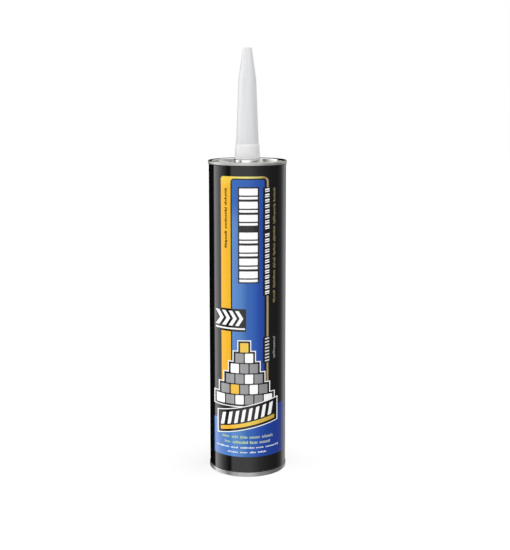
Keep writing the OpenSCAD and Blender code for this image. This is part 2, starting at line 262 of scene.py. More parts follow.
def thick_line(points: Sequence[Point], wall: float) -> list[Point]:
    """Gives a line of sheet metal its thickness.

    Args:
        points: The line along the outer side of the sheet.
        wall: Thickness, laid to the left of the line, or to the right if it is negative.

    Returns:
        The closed outline of the sheet's section.
    """
    inner: list[Point] = []
    last = len(points) - 1
    for index, point in enumerate(points):
        before = Vector(point) - Vector(points[max(index - 1, 0)])
        after = Vector(points[min(index + 1, last)]) - Vector(point)
        before = before.normalized() if before.length else after.normalized()
        after = after.normalized() if after.length else before
        middle = (before + after).normalized()
        side = Vector((-middle.y, middle.x)) * (wall / max(middle.dot(before), CORNER_SHARE))
        inner.append((point[0] + side.x, point[1] + side.y))
    return list(points) + inner[::-1]


def draw_line(points: Sequence[Point], closed: bool) -> None:
    """Draws an outline in the XZ plane, extruding one vertex from point to point, and leaves it selected.

    Args:
        points: Points of the outline in millimetres.
        closed: Whether the last point joins the first.
    """
    x, z = points[0]
    bpy.ops.mesh.select_all(action="DESELECT")
    bpy.ops.mesh.primitive_plane_add(size=MM, location=(x * MM, 0, z * MM), rotation=(math.pi / 2, 0, 0))
    bpy.ops.mesh.merge(type="CENTER")
    targets = list(points[1:]) + ([points[0]] if closed else [])
    for here, there in zip(points, targets):
        step = ((there[0] - here[0]) * MM, 0, (there[1] - here[1]) * MM)
        bpy.ops.mesh.extrude_region_move(TRANSFORM_OT_translate={"value": step})
    bpy.ops.mesh.select_linked()
    if closed:
        bpy.ops.mesh.remove_doubles(threshold=MERGE)


def polygon(points: Sequence[Point]) -> None:
    """Draws a filled flat shape in the XZ plane.

    Args:
        points: Points of its outline in millimetres.
    """
    draw_line(points, closed=True)
    bpy.ops.mesh.edge_face_add()


def rectangle(x0: float, x1: float, z0: float, z1: float, rounding: float = 0.0) -> None:
    """Draws a filled flat rectangle in the XZ plane, with rounded corners.

    Args:
        x0: Left side.
        x1: Right side.
        z0: Lower side.
        z1: Upper side.
        rounding: Radius of the corners.
    """
    middle = ((x0 + x1) / 2 * MM, 0, (z0 + z1) / 2 * MM)
    bpy.ops.mesh.select_all(action="DESELECT")
    bpy.ops.mesh.primitive_plane_add(size=MM, location=middle, rotation=(math.pi / 2, 0, 0))
    bpy.ops.transform.resize(value=(x1 - x0, 1, z1 - z0), center_override=middle)
    if rounding:
        bpy.ops.mesh.bevel(offset=rounding * MM, segments=3, affect="VERTICES")


def lathe(
    name: str, outline: Sequence[Point], closed: bool, steps: int = 160, turn: float = 360.0
) -> bpy.types.Object:
    """Turns an outline round the tube's axis.

    Args:
        name: Name of the piece.
        outline: Radius and height of each point in millimetres.
        closed: Whether the outline is a closed loop. An open one ends on the axis or stays a surface.
        steps: Facets round the axis.
        turn: Angle to turn through, in degrees. What is left of the circle lies at the back.

    Returns:
        The turned piece, smooth where it is round.
    """
    piece = begin(name)
    draw_line(outline, closed)
    bpy.ops.mesh.spin(steps=steps, angle=math.radians(turn), center=(0, 0, 0), axis=(0, 0, 1))
    bpy.ops.mesh.select_all(action="SELECT")
    bpy.ops.mesh.remove_doubles(threshold=MERGE)
    if turn < 360 and closed:
        bpy.ops.mesh.fill_holes(sides=len(outline))
        bpy.ops.mesh.select_all(action="SELECT")
    bpy.ops.mesh.normals_make_consistent(inside=False)
    bpy.ops.object.mode_set(mode="OBJECT")
    if turn < 360:
        piece.rotation_euler.z = math.radians(90 - (360 - turn) / 2)
        bpy.ops.object.transform_apply(location=False, rotation=True, scale=False)
    smooth(piece)
    return piece


def face_outwards(piece: bpy.types.Object) -> None:
    """Turns the faces of a sheet laid on the tube to look away from the axis.

    Args:
        piece: Mesh object.
    """
    work_on(piece)
    bpy.ops.mesh.select_all(action="DESELECT")
    bpy.ops.object.mode_set(mode="OBJECT")
    for face in piece.data.polygons:
        face.select = face.normal.x * face.center.x + face.normal.y * face.center.y < 0
    bpy.ops.object.mode_set(mode="EDIT")
    bpy.ops.mesh.flip_normals()
    bpy.ops.object.mode_set(mode="OBJECT")


def thicken(piece: bpy.types.Object, level: Level) -> None:
    """Gives a sheet of ink its thickness, down into the paper.

    Args:
        piece: Mesh object.
        level: Layer that the ink lies at.
    """
    choose(piece)
    wall = piece.modifiers.new("thickness", "SOLIDIFY")
    wall.thickness = (level.value + INK_SINK) * MM
    wall.offset = -1.0
    bpy.ops.object.modifier_apply(modifier=wall.name)
    smooth(piece)


def lay_on_tube(piece: bpy.types.Object, level: Level) -> None:
    """Lays a flat print on the tube, each point keeping its x and height as seen from the front.

    Args:
        piece: Flat mesh in the XZ plane.
        level: Layer that the ink lies at.
    """
    radius = (LABEL_R + level.value) * MM
    bpy.ops.object.mode_set(mode="OBJECT")
    left = min(vertex.co.x for vertex in piece.data.vertices)
    right = max(vertex.co.x for vertex in piece.data.vertices)
    work_on(piece)
    for cut in range(-CUTS, CUTS + 1):
        x = radius * math.sin(math.radians(cut * CUT_ANGLE))
        if left < x < right:
            bpy.ops.mesh.select_all(action="SELECT")
            bpy.ops.mesh.bisect(plane_co=(x, 0, 0), plane_no=(1, 0, 0))
    bpy.ops.object.mode_set(mode="OBJECT")
    for vertex in piece.data.vertices:
        vertex.co.y = -math.sqrt(radius**2 - vertex.co.x**2)
    face_outwards(piece)
    thicken(piece, level)


def dress(
    piece: bpy.types.Object, body: Body, finish: bpy.types.Material, nodes: Sequence[str] = ()
) -> None:
    """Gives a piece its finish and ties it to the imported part.

    Args:
        piece: Finished object.
        body: Body that it moves with.
        finish: Material.
        nodes: Names of the CAD nodes that it stands for.
    """
    piece.data.materials.clear()
    piece.data.materials.append(finish)
    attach(piece, body.value)
    if nodes:
        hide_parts(*nodes)
    log.info("%s: %d faces, on %s", piece.name, len(piece.data.polygons), body.value)


# Finishes


class Graph:
    """A node tree with short calls to add and join nodes."""

    def __init__(self, tree: bpy.types.NodeTree) -> None:
        """Keeps the tree."""
        self.tree = tree

    def add(self, kind: str, **settings: object) -> bpy.types.Node:
        """Adds a node.

        Args:
            kind: Blender's name of the node type, without its ShaderNode prefix.
            **settings: Properties of the node.

        Returns:
            The node.
        """
        node = self.tree.nodes.new("ShaderNode" + kind if not kind.startswith("NodeGroup") else kind)
        for key, value in settings.items():
            setattr(node, key, value)
        return node

    def feed(self, target: bpy.types.NodeSocket, source: object) -> None:
        """Links a socket, or sets its value.

        Args:
            target: Input socket.
            source: Output socket, number or colour.
        """
        if isinstance(source, bpy.types.NodeSocket):
            self.tree.links.new(source, target)
        elif isinstance(source, tuple) and len(source) == 3 and target.type == "RGBA":
            target.default_value = (*source, 1.0)
        else:
            target.default_value = source

    def math(self, operation: str, *values: object) -> bpy.types.NodeSocket:
        """Adds a Math node.

        Args:
            operation: Blender's name of the operation.
            *values: Sockets or numbers.

        Returns:
            Its output.
        """
        node = self.add("Math", operation=operation)
        for socket, value in zip(node.inputs, values):
            self.feed(socket, value)
        return node.outputs[0]

    def span(
        self, value: object, low: float, high: float, out_low: float = 0.0, out_high: float = 1.0
    ) -> bpy.types.NodeSocket:
        """Maps a range of values to another, smoothly and clamped.

        Args:
            value: Socket to map.
            low: Value that gives out_low.
            high: Value that gives out_high.
            out_low: Result at low.
            out_high: Result at high.

        Returns:
            The mapped value.
        """
        node = self.add("MapRange", interpolation_type="SMOOTHSTEP")
        for socket, number in zip(node.inputs, (value, low, high, out_low, out_high)):
            self.feed(socket, number)
        return node.outputs[0]

    def spread(self, noise: object, low: float, high: float, half: float = 0.2) -> bpy.types.NodeSocket:
        """Maps the middle of a noise, half to each side of 0.5, to the range from low to high."""
        return self.span(noise, 0.5 - half, 0.5 + half, low, high)

    def parts(self, vector: bpy.types.NodeSocket) -> Sequence[bpy.types.NodeSocket]:
        """Splits a vector.

        Args:
            vector: Socket to split.

        Returns:
            Its x, y and z.
        """
        node = self.add("SeparateXYZ")
        self.feed(node.inputs[0], vector)
        return node.outputs

    def bundle(self, *values: object) -> bpy.types.NodeSocket:
        """Makes a vector.

        Args:
            *values: Its x, y and z.

        Returns:
            The vector.
        """
        node = self.add("CombineXYZ")
        for socket, value in zip(node.inputs, values):
            self.feed(socket, value)
        return node.outputs[0]

    def noise(self, place: object, scale: object, detail: object) -> bpy.types.NodeSocket:
        """Adds a noise.

        Args:
            place: Socket with the place in space.
            scale: Socket or number.
            detail: Socket or number.

        Returns:
            A value round 0.5.
        """
        node = self.add("TexNoise", noise_dimensions="3D")
        for key, value in {"Vector": place, "Scale": scale, "Detail": detail}.items():
            self.feed(node.inputs[key], value)
        return node.outputs[0]

    def mix(self, share: object, first: object, second: object, blend: str = "MIX") -> bpy.types.NodeSocket:
        """Mixes two colours.

        Args:
            share: Share of the second colour.
            first: Socket or colour.
            second: Socket or colour.
            blend: Blender's name of the blend type.

        Returns:
            The mixed colour.
        """
        node = self.add("Mix", data_type="RGBA", blend_type=blend)
        self.feed(node.inputs["Factor"], share)
        self.feed(node.inputs[6], first)
        self.feed(node.inputs[7], second)
        return node.outputs[2]

    def ramp(self, value: object, stops: Sequence[Stop]) -> bpy.types.NodeSocket:
        """Adds a colour ramp.

        Args:
            value: Socket that runs along the ramp.
            stops: Position and colour of each stop.

        Returns:
            The colour.
        """
        node = self.add("ValToRGB")
        elements = node.color_ramp.elements
        while len(elements) < len(stops):
            elements.new(1.0)
        for element, (position, colour) in zip(elements, stops):
            element.position = position
            element.color = (*colour, 1.0)
        self.feed(node.inputs[0], value)
        return node.outputs[0]

    def group(self, group: bpy.types.NodeTree, **inputs: object) -> bpy.types.Node:
        """Places a node group.

        Args:
            group: Shader node group.
            **inputs: Values or sockets for its inputs, by name.

        Returns:
            The group's node.
        """
        node = self.add("Group", node_tree=group)
        for key, value in inputs.items():
            self.feed(node.inputs[key], value)
        return node

    def place(self) -> bpy.types.NodeSocket:
        """Gives the object coordinates of the piece, in metres."""
        return self.add("TexCoord").outputs["Object"]


def new_group(name: str, inputs: dict[str, float], outputs: Sequence[str]) -> tuple[Graph, dict, dict]:
    """Starts a shader node group that takes a position and numbers and gives values.

    Args:
        name: Name of the group.
        inputs: Number inputs with their defaults, after the position named Place.
        outputs: Names of its outputs. One that ends in Vector is a vector.

    Returns:
        The graph, the group's inner inputs by name, and its inner outputs by name.
    """
    tree = bpy.data.node_groups.new(name, "ShaderNodeTree")
    tree.interface.new_socket("Place", in_out="INPUT", socket_type="NodeSocketVector")
    for key, value in inputs.items():
        tree.interface.new_socket(key, in_out="INPUT", socket_type="NodeSocketFloat").default_value = value
    for key in outputs:
        kind = "NodeSocketVector" if key.endswith("Vector") else "NodeSocketFloat"
        tree.interface.new_socket(key, in_out="OUTPUT", socket_type=kind)
    graph = Graph(tree)
    entry, leave = graph.add("NodeGroupInput"), graph.add("NodeGroupOutput")
    return graph, entry.outputs, leave.inputs


@dataclass
class Effects:
    """Node groups that the finishes share."""

    unrolled: bpy.types.NodeTree = field(init=False)
    grain: bpy.types.NodeTree = field(init=False)
    wear: bpy.types.NodeTree = field(init=False)
    wear_detail: float = 4.0
    wear_boost: float = 0.22
    wear_full: float = 0.4
    fleck_ends: tuple[float, float] = (0.66, 0.76)

    def __post_init__(self) -> None:
        """Builds each group once."""
        self.unrolled = self.build_unrolled()
        self.grain = self.build_grain()
        self.wear = self.build_wear()

    def build_unrolled(self) -> bpy.types.NodeTree:
        """Builds the group that unrolls the tube's surface.

        Returns:
            A group that gives the arc length and height as a vector, the place from left (0) to right (1)
            as seen from the front, and the angle round the tube from the front in turns.
        """
        names = ["Flat Vector", "Across", "Turn"]
        graph, given, result = new_group("unrolled_tube", {"Radius": 0.0254}, names)
        x, y, z = graph.parts(given["Place"])
        angle = graph.math("ARCTAN2", x, graph.math("MULTIPLY", y, -1.0))
        squares = [graph.math("POWER", side, 2.0) for side in (x, y)]
        radius = graph.math("SQRT", graph.math("ADD", *squares))
        flat = graph.bundle(graph.math("MULTIPLY", angle, given["Radius"]), z, radius)
        graph.feed(result["Flat Vector"], flat)
        half = graph.math("DIVIDE", x, graph.math("MULTIPLY", given["Radius"], 2.0))
        graph.feed(result["Across"], graph.math("ADD", half, 0.5))
        graph.feed(result["Turn"], graph.math("DIVIDE", angle, 2 * math.pi))
        return graph.tree

    def build_grain(self) -> bpy.types.NodeTree:
        """Builds the group for fine grain: noise of a given size, stretched along height or round the tube.

        Returns:
            A group that gives a value round 0.5.
        """
        sizes = {"Scale": 900.0, "Stretch X": 1.0, "Stretch Z": 1.0, "Detail": 3.0}
        graph, given, result = new_group("fine_grain", sizes, ["Value"])
        scaled = graph.add("VectorMath", operation="MULTIPLY")
        graph.feed(scaled.inputs[0], given["Place"])
        graph.feed(scaled.inputs[1], graph.bundle(given["Stretch X"], given["Stretch Z"], given["Stretch Z"]))
        graph.feed(result["Value"], graph.noise(scaled.outputs[0], given["Scale"], given["Detail"]))
        return graph.tree

    def build_wear(self) -> bpy.types.NodeTree:
        """Builds the group for wear near an edge of a turned piece.

        Returns:
            A group that gives a mask: 1 in worn flecks within Reach of the height Edge, 0 elsewhere.
        """
        sizes = {"Edge": 0.0, "Reach": 0.002, "Scale": 1400.0}
        graph, given, result = new_group("edge_wear", sizes, ["Mask"])
        height = graph.parts(given["Place"])[2]
        away = graph.math("ABSOLUTE", graph.math("SUBTRACT", height, given["Edge"]))
        near = graph.math("MINIMUM", graph.math("DIVIDE", away, given["Reach"]), 1.0)
        close = graph.math("SUBTRACT", 1.0, near)
        noise = graph.noise(given["Place"], given["Scale"], self.wear_detail)
        raised = graph.math("ADD", noise, graph.math("MULTIPLY", close, self.wear_boost))
        flecks = graph.span(raised, *self.fleck_ends)
        graph.feed(result["Mask"], graph.math("MULTIPLY", flecks, graph.span(close, 0.0, self.wear_full)))
        return graph.tree


def start_material(name: str, **constants: object) -> tuple[Graph, bpy.types.Node]:
    """Starts a material with one Principled shader.

    Args:
        name: Name of the material.
        **constants: Values for the shader's sockets, with underscores for spaces.

    Returns:
        The graph and the shader node.
    """
    material = bpy.data.materials.new(name)
    material.use_nodes = True
    shader = material.node_tree.nodes["Principled BSDF"]
    graph = Graph(material.node_tree)
    for key, value in constants.items():
        graph.feed(shader.inputs[key.replace("_", " ")], value)
    return graph, shader


def raise_surface(graph: Graph, shader: bpy.types.Node, height: object, distance: float) -> None:
    """Feeds a height to the shader through a Bump node.

    Args:
        graph: Graph of the material.
        shader: Principled shader.
        height: Height socket, from 0 to 1.
        distance: Height in metres that 1 stands for.
    """
    bump = graph.add("Bump")
    bump.inputs["Distance"].default_value = distance
    graph.feed(bump.inputs["Height"], height)
    graph.feed(shader.inputs["Normal"], bump.outputs[0])


@dataclass(frozen=True)
class Varnish:
    """Clear varnish over the whole label, on ink and on bare paper."""

    ior: float = 1.45
    scale: float = 2600.0
    gloss: tuple[float, float] = (0.07, 0.11)
    relief: float = 2e-6


VARNISH = Varnish()


@dataclass(frozen=True)
class InkFinish:
    """Varnished ink in a blend from left to right, with a blend of its own near the label's top.

    The blends are partly print and partly painted shade: they run darker towards the right, where less light
    falls.

    The painted side shade names the angles round the tube, in degrees, between which the ink is painted black
    as shade on the tube's sides: from the second to the first on the left, and from the third to the fourth
    on the right.
    """

    name: str
    blend: tuple[Stop, ...]
    upper: tuple[Stop, ...] = ()
    upper_from: float = 0.166
    upper_full: float = 0.184
    mottle: float = 0.05
    painted_side_shade: tuple[float, float, float, float] | None = None

    def material(self, effects: Effects) -> bpy.types.Material:
        """Builds the material.

        Args:
            effects: Shared node groups.

        Returns:
            The material.
        """
        graph, shader = start_material(self.name, IOR=VARNISH.ior)
        place = graph.place()
        tube = graph.group(effects.unrolled, Place=place).outputs
        across, turn = tube["Across"], tube["Turn"]
        colour = graph.ramp(across, self.blend)
        if self.upper:
            share = graph.span(graph.parts(place)[2], self.upper_from, self.upper_full)
            colour = graph.mix(share, colour, graph.ramp(across, self.upper))
        # Painted shade: the ink turns black towards the tube's sides, between the given angles.
        if self.painted_side_shade:
            ends = [angle / 360 for angle in self.painted_side_shade]
            left, right = graph.span(turn, ends[0], ends[1], 1.0, 0.0), graph.span(turn, ends[2], ends[3])
            colour = graph.mix(graph.math("MAXIMUM", left, right), colour, PAPER.ground)
        grain = graph.group(effects.grain, Place=place, Scale=VARNISH.scale).outputs["Value"]
        shade = graph.spread(grain, 1 - 2 * self.mottle, 1.0, half=0.15)
        graph.feed(shader.inputs["Base Color"], graph.mix(1.0, colour, shade, "MULTIPLY"))
        graph.feed(shader.inputs["Roughness"], graph.spread(grain, *VARNISH.gloss))
        raise_surface(graph, shader, grain, VARNISH.relief)
        return bpy.data.materials[self.name]


@dataclass(frozen=True)
class PaperFinish:
    """Varnished black label paper, with light flecks where its foot is rubbed."""

    name: str = "black_paper"
    ground: Colour = (0.0035, 0.0035, 0.004)
    fibre: Colour = (0.12, 0.115, 0.11)
    foot: float = 0.0029
    rubbed: float = 0.0008
    roughened: float = 0.4

    def material(self, effects: Effects) -> bpy.types.Material:
        """Builds the material.

        Args:
            effects: Shared node groups.

        Returns:
            The material.
        """
        graph, shader = start_material(self.name, IOR=VARNISH.ior)
        place = graph.place()
        flat = graph.group(effects.unrolled, Place=place).outputs["Flat Vector"]
        grain = graph.group(effects.grain, Place=flat, Scale=VARNISH.scale).outputs["Value"]
        worn = graph.group(effects.wear, Place=place, Edge=self.foot, Reach=self.rubbed).outputs["Mask"]
        graph.feed(shader.inputs["Base Color"], graph.mix(worn, self.ground, self.fibre))
        gloss = graph.spread(grain, *VARNISH.gloss)
        rough = graph.math("ADD", gloss, graph.math("MULTIPLY", worn, self.roughened))
        graph.feed(shader.inputs["Roughness"], rough)
        raise_surface(graph, shader, grain, VARNISH.relief)
        return bpy.data.materials[self.name]


@dataclass(frozen=True)
class TinplateFinish:
    """Tinplate with fine turning marks and a cloudy tin layer.

    It is scuffed to a rougher finish where the seaming rolls ran, darker there by a given factor, and painted
    nearly black along the seam's lower edge as the shadow where the hook meets the label.
    """

    name: str
    bright: Colour
    dull: Colour
    polish: float
    scuffed: float
    # Factor on the colour of the seam's outer face above the painted shadow line.
    rubbed: float = 1.0
    scuffed_r: float = 0.0252
    scuffed_below: float = 0.2074
    # Painted shadow: below this height the seam's outer face is multiplied by the next tone, nearly to black.
    painted_shadow_line: float = -1.0
    painted_shadow_line_tone: float = 0.03
    soft: float = 0.0001
    streaks: float = 0.08
    clouding: float = 0.05
    relief: float = 4e-6

    def material(self, effects: Effects) -> bpy.types.Material:
        """Builds the material.

        Args:
            effects: Shared node groups.

        Returns:
            The material.
        """
        graph, shader = start_material(self.name, Metallic=1.0)
        place = graph.place()
        flat = graph.group(effects.unrolled, Place=place).outputs["Flat Vector"]
        lines = graph.group(effects.grain, Place=flat, Scale=2400.0, **{"Stretch X": 0.02}).outputs["Value"]
        cloud = graph.group(effects.grain, Place=place, Scale=160.0, Detail=5.0).outputs["Value"]
        colour = graph.mix(graph.spread(cloud, 0.0, 1.0, half=0.15), self.dull, self.bright)
        _, height, radius = graph.parts(flat)
        outside = graph.span(radius, self.scuffed_r - 3 * self.soft, self.scuffed_r + 3 * self.soft)
        top, edge = self.scuffed_below, 2 * self.soft
        rolled = graph.math("MULTIPLY", outside, graph.span(height, top - edge, top + edge, 1.0, 0.0))
        # Painted shadow along the seam's lower edge, under the hook.
        low, high = self.painted_shadow_line - self.soft, self.painted_shadow_line + self.soft
        tone = graph.span(height, low, high, self.painted_shadow_line_tone, self.rubbed)
        seam_tone_and_painted_shadow = graph.mix(1.0, colour, tone, "MULTIPLY")
        graph.feed(shader.inputs["Base Color"], graph.mix(rolled, colour, seam_tone_and_painted_shadow))
        base = graph.span(rolled, 0.0, 1.0, self.polish, self.scuffed)
        rough = graph.math("ADD", base, graph.spread(lines, 0.0, self.streaks))
        rough = graph.math("ADD", rough, graph.math("MULTIPLY", cloud, self.clouding))
        graph.feed(shader.inputs["Roughness"], rough)
        raise_surface(graph, shader, lines, self.relief)
        return bpy.data.materials[self.name]


@dataclass(frozen=True)
class PlasticFinish:
    """Moulded polyethylene with a faint flow grain, paler below a height where its wall is thick."""

    name: str
    colour: Colour
    shade: Colour
    thick: Colour
    thick_below: float
    roughness: float
    milkiness: float
    soft: float = 0.001
    uneven: float = 0.05
    relief: float = 6e-6

    def material(self, effects: Effects) -> bpy.types.Material:
        """Builds the material.

        Args:
            effects: Shared node groups.

        Returns:
            The material.
        """
        milk = {"Subsurface_Weight": self.milkiness, "Subsurface_Scale": 0.002}
        graph, shader = start_material(self.name, IOR=1.5, **milk)
        shader.inputs["Subsurface Radius"].default_value = (1.0, 1.0, 1.0)
        place = graph.place()
        flat = graph.group(effects.unrolled, Place=place, Radius=0.008).outputs["Flat Vector"]
        flow = graph.group(effects.grain, Place=flat, Scale=260.0, **{"Stretch Z": 0.12}).outputs["Value"]
        skin = graph.group(effects.grain, Place=place, Scale=3200.0).outputs["Value"]
        thin = graph.mix(graph.spread(flow, 0.0, 1.0, half=0.15), self.shade, self.colour)
        wall = graph.span(graph.parts(place)[2], self.thick_below - self.soft, self.thick_below + self.soft)
        graph.feed(shader.inputs["Base Color"], graph.mix(wall, self.thick, thin))
        rough = graph.spread(skin, self.roughness - self.uneven, self.roughness + self.uneven)
        graph.feed(shader.inputs["Roughness"], rough)
        raise_surface(graph, shader, skin, self.relief)
        return bpy.data.materials[self.name]


@dataclass(frozen=True)
class FoilFinish:
    """Sealing foil with a crumpled skin."""

    name: str = "foil"
    bright: Colour = (0.83, 0.83, 0.84)
    creased: float = 0.85
    gloss: tuple[float, float] = (0.2, 0.35)
    relief: float = 6e-5

    def material(self, effects: Effects) -> bpy.types.Material:
        """Builds the material.

        Args:
            effects: Shared node groups.

        Returns:
            The material.
        """
        graph, shader = start_material(self.name, Metallic=1.0)
        grain = graph.group(effects.grain, Place=graph.place(), Scale=700.0, Detail=4.0).outputs["Value"]
        dark = tuple(channel * self.creased for channel in self.bright)
        graph.feed(shader.inputs["Base Color"], graph.mix(grain, dark, self.bright))
        graph.feed(shader.inputs["Roughness"], graph.spread(grain, *self.gloss))
        raise_surface(graph, shader, grain, self.relief)
        return bpy.data.materials[self.name]


@dataclass(frozen=True)
class BoardFinish:
    """Spiral-wound kraft board with fibres and the winding's seam lines."""

    name: str = "kraft_board"
    light: Colour = (0.5, 0.36, 0.22)
    dark: Colour = (0.33, 0.22, 0.125)
    winding: float = 0.058
    seam: float = 0.012
    seam_tone: float = 0.4
    gloss: tuple[float, float] = (0.75, 0.9)
    relief: float = 4e-5

    def material(self, effects: Effects) -> bpy.types.Material:
        """Builds the material.

        Args:
            effects: Shared node groups.

        Returns:
            The material.
        """
        graph, shader = start_material(self.name, IOR=1.45)
        place = graph.place()
        tube = graph.group(effects.unrolled, Place=place).outputs
        stretch = {"Place": tube["Flat Vector"], "Stretch X": 0.16}
        fibres = graph.group(effects.grain, Scale=1500.0, Detail=5.0, **stretch).outputs["Value"]
        windings = graph.math("DIVIDE", graph.parts(place)[2], self.winding)
        along = graph.math("FRACT", graph.math("SUBTRACT", windings, tube["Turn"]))
        away = graph.math("ABSOLUTE", graph.math("SUBTRACT", along, 0.5))
        seam = graph.span(away, 0.0, self.seam, 1.0, 0.0)
        board = graph.mix(graph.spread(fibres, 0.0, 1.0), self.dark, self.light)
        groove = tuple(channel * self.seam_tone for channel in self.dark)
        graph.feed(shader.inputs["Base Color"], graph.mix(seam, board, groove))
        graph.feed(shader.inputs["Roughness"], graph.spread(fibres, *self.gloss))
        raise_surface(graph, shader, graph.math("SUBTRACT", fibres, seam), self.relief)
        return bpy.data.materials[self.name]


@dataclass(frozen=True)
class PasteFinish:
    """Thick tan paste with small voids, painted darker inside them as shade."""

    name: str = "tan_paste"
    light: Colour = (0.72, 0.6, 0.42)
    dark: Colour = (0.55, 0.44, 0.28)
    void_scale: float = 260.0
    void_edge: tuple[float, float] = (0.1, 0.3)
    gloss: tuple[float, float] = (0.35, 0.5)
    relief: float = 8e-5

    def material(self, effects: Effects) -> bpy.types.Material:
        """Builds the material.

        Args:
            effects: Shared node groups.

        Returns:
            The material.
        """
        graph, shader = start_material(self.name, IOR=1.5)
        place = graph.place()
        swirl = graph.group(effects.grain, Place=place, Scale=120.0, Detail=5.0).outputs["Value"]
        voids = graph.add("TexVoronoi")
        voids.inputs["Scale"].default_value = self.void_scale
        graph.feed(voids.inputs["Vector"], place)
        pit = graph.span(voids.outputs["Distance"], *self.void_edge)
        # Painted shade: the colour darkens inside the voids.
        tone = graph.math("MULTIPLY", swirl, pit)
        graph.feed(shader.inputs["Base Color"], graph.mix(tone, self.dark, self.light))
        graph.feed(shader.inputs["Roughness"], graph.spread(swirl, *self.gloss))
        raise_surface(graph, shader, pit, self.relief)
        return bpy.data.materials[self.name]


def plain(name: str, left: Colour, middle: Colour, right: Colour, mottle: float = 0.05) -> InkFinish:
    """Describes an ink with one blend from left over middle to right.

    Args:
        name: Name of the material.
        left: Colour at the left.
        middle: Colour at the front.
        right: Colour at the right.
        mottle: Strength of the grain.

    Returns:
        The finish.
    """
    return InkFinish(name, ((0.27, left), (0.5, middle), (0.73, right)), mottle=mottle)


PAPER = PaperFinish()
# The ink blends below run darker towards the right: partly print, partly painted shade.
BLUE = InkFinish(
    "blue_ink",
    blend=(
        (0.1, (0.07, 0.18, 0.5)),
        (0.32, (0.075, 0.22, 0.57)),
        (0.42, (0.052, 0.185, 0.49)),
        (0.5, (0.004, 0.1, 0.41)),
        (0.58, (0.004, 0.085, 0.41)),
        (0.66, (0.006, 0.057, 0.36)),
        (0.74, (0.004, 0.047, 0.3)),
        (0.86, (0.012, 0.042, 0.3)),
    ),
    upper=((0.34, (0.004, 0.105, 0.44)), (0.5, (0.004, 0.088, 0.42)), (0.66, (0.008, 0.068, 0.38))),
    # Painted shade: the blue turns black on the tube's sides.
    painted_side_shade=(-62.0, -58.0, 52.0, 80.0),
)
YELLOW = InkFinish(
    "yellow_ink",
    blend=((0.27, (0.88, 0.47, 0.028)), (0.5, (0.85, 0.58, 0.06)), (0.8, (0.6, 0.4, 0.06))),
    upper=(
        (0.27, (0.86, 0.58, 0.06)),
        (0.5, (0.8, 0.76, 0.22)),
        (0.67, (0.55, 0.44, 0.12)),
        (0.73, (0.27, 0.2, 0.07)),
    ),
    upper_from=0.191,
    upper_full=0.197,
)
GOLD = InkFinish(
    "gold_ink",
    blend=(
        (0.27, (0.3, 0.22, 0.11)),
        (0.72, (0.38, 0.3, 0.15)),
        (0.78, (0.4, 0.32, 0.17)),
        (0.81, (0.24, 0.185, 0.075)),
    ),
)
WHITE = plain("white_ink", (0.93, 0.93, 0.93), (0.93, 0.93, 0.93), (0.93, 0.93, 0.93), 0.01)
GREY = plain("grey_ink", (0.34, 0.34, 0.35), (0.3, 0.3, 0.31), (0.26, 0.26, 0.27))
GREEN = plain("green_ink", (0.4, 0.55, 0.33), (0.42, 0.56, 0.35), (0.42, 0.46, 0.42))
INKS = {
    Slot.BLUE: BLUE,
    Slot.YELLOW: YELLOW,
    Slot.GOLD: GOLD,
    Slot.WHITE: WHITE,
    Slot.GREY: GREY,
    Slot.GREEN: GREEN,
}
BRIGHT_TINPLATE = TinplateFinish(
    "bright_tinplate",
    bright=(0.78, 0.775, 0.76),
    dull=(0.68, 0.675, 0.66),
    polish=0.06,
    scuffed=0.46,
    # The seam's outer face is darker by this factor, and painted nearly black as shadow below the given
    # height.
    rubbed=0.66,
    painted_shadow_line=0.2056,
)
# Darker copy of the tinplate for the rear ring: painted shade.
SHADED_REAR_TINPLATE = TinplateFinish(
    "shaded_rear_tinplate", bright=(0.39, 0.39, 0.39), dull=(0.3, 0.3, 0.3), polish=0.2, scuffed=0.28
)
NOZZLE_PLASTIC = PlasticFinish(
    "natural_plastic",
    colour=(0.715, 0.72, 0.73),
    shade=(0.685, 0.69, 0.7),
    thick=(0.84, 0.84, 0.845),
    thick_below=0.2176,
    roughness=0.38,
    milkiness=0.3,
)
PISTON_PLASTIC = PlasticFinish(
    "piston_plastic",
    colour=(0.78, 0.78, 0.75),
    shade=(0.72, 0.72, 0.69),
    thick=(0.7, 0.7, 0.67),
    thick_below=0.0,
    roughness=0.45,
    milkiness=0.15,
)


# The printed label

Sheet = tuple[Slot, Level, Callable[[], None]]


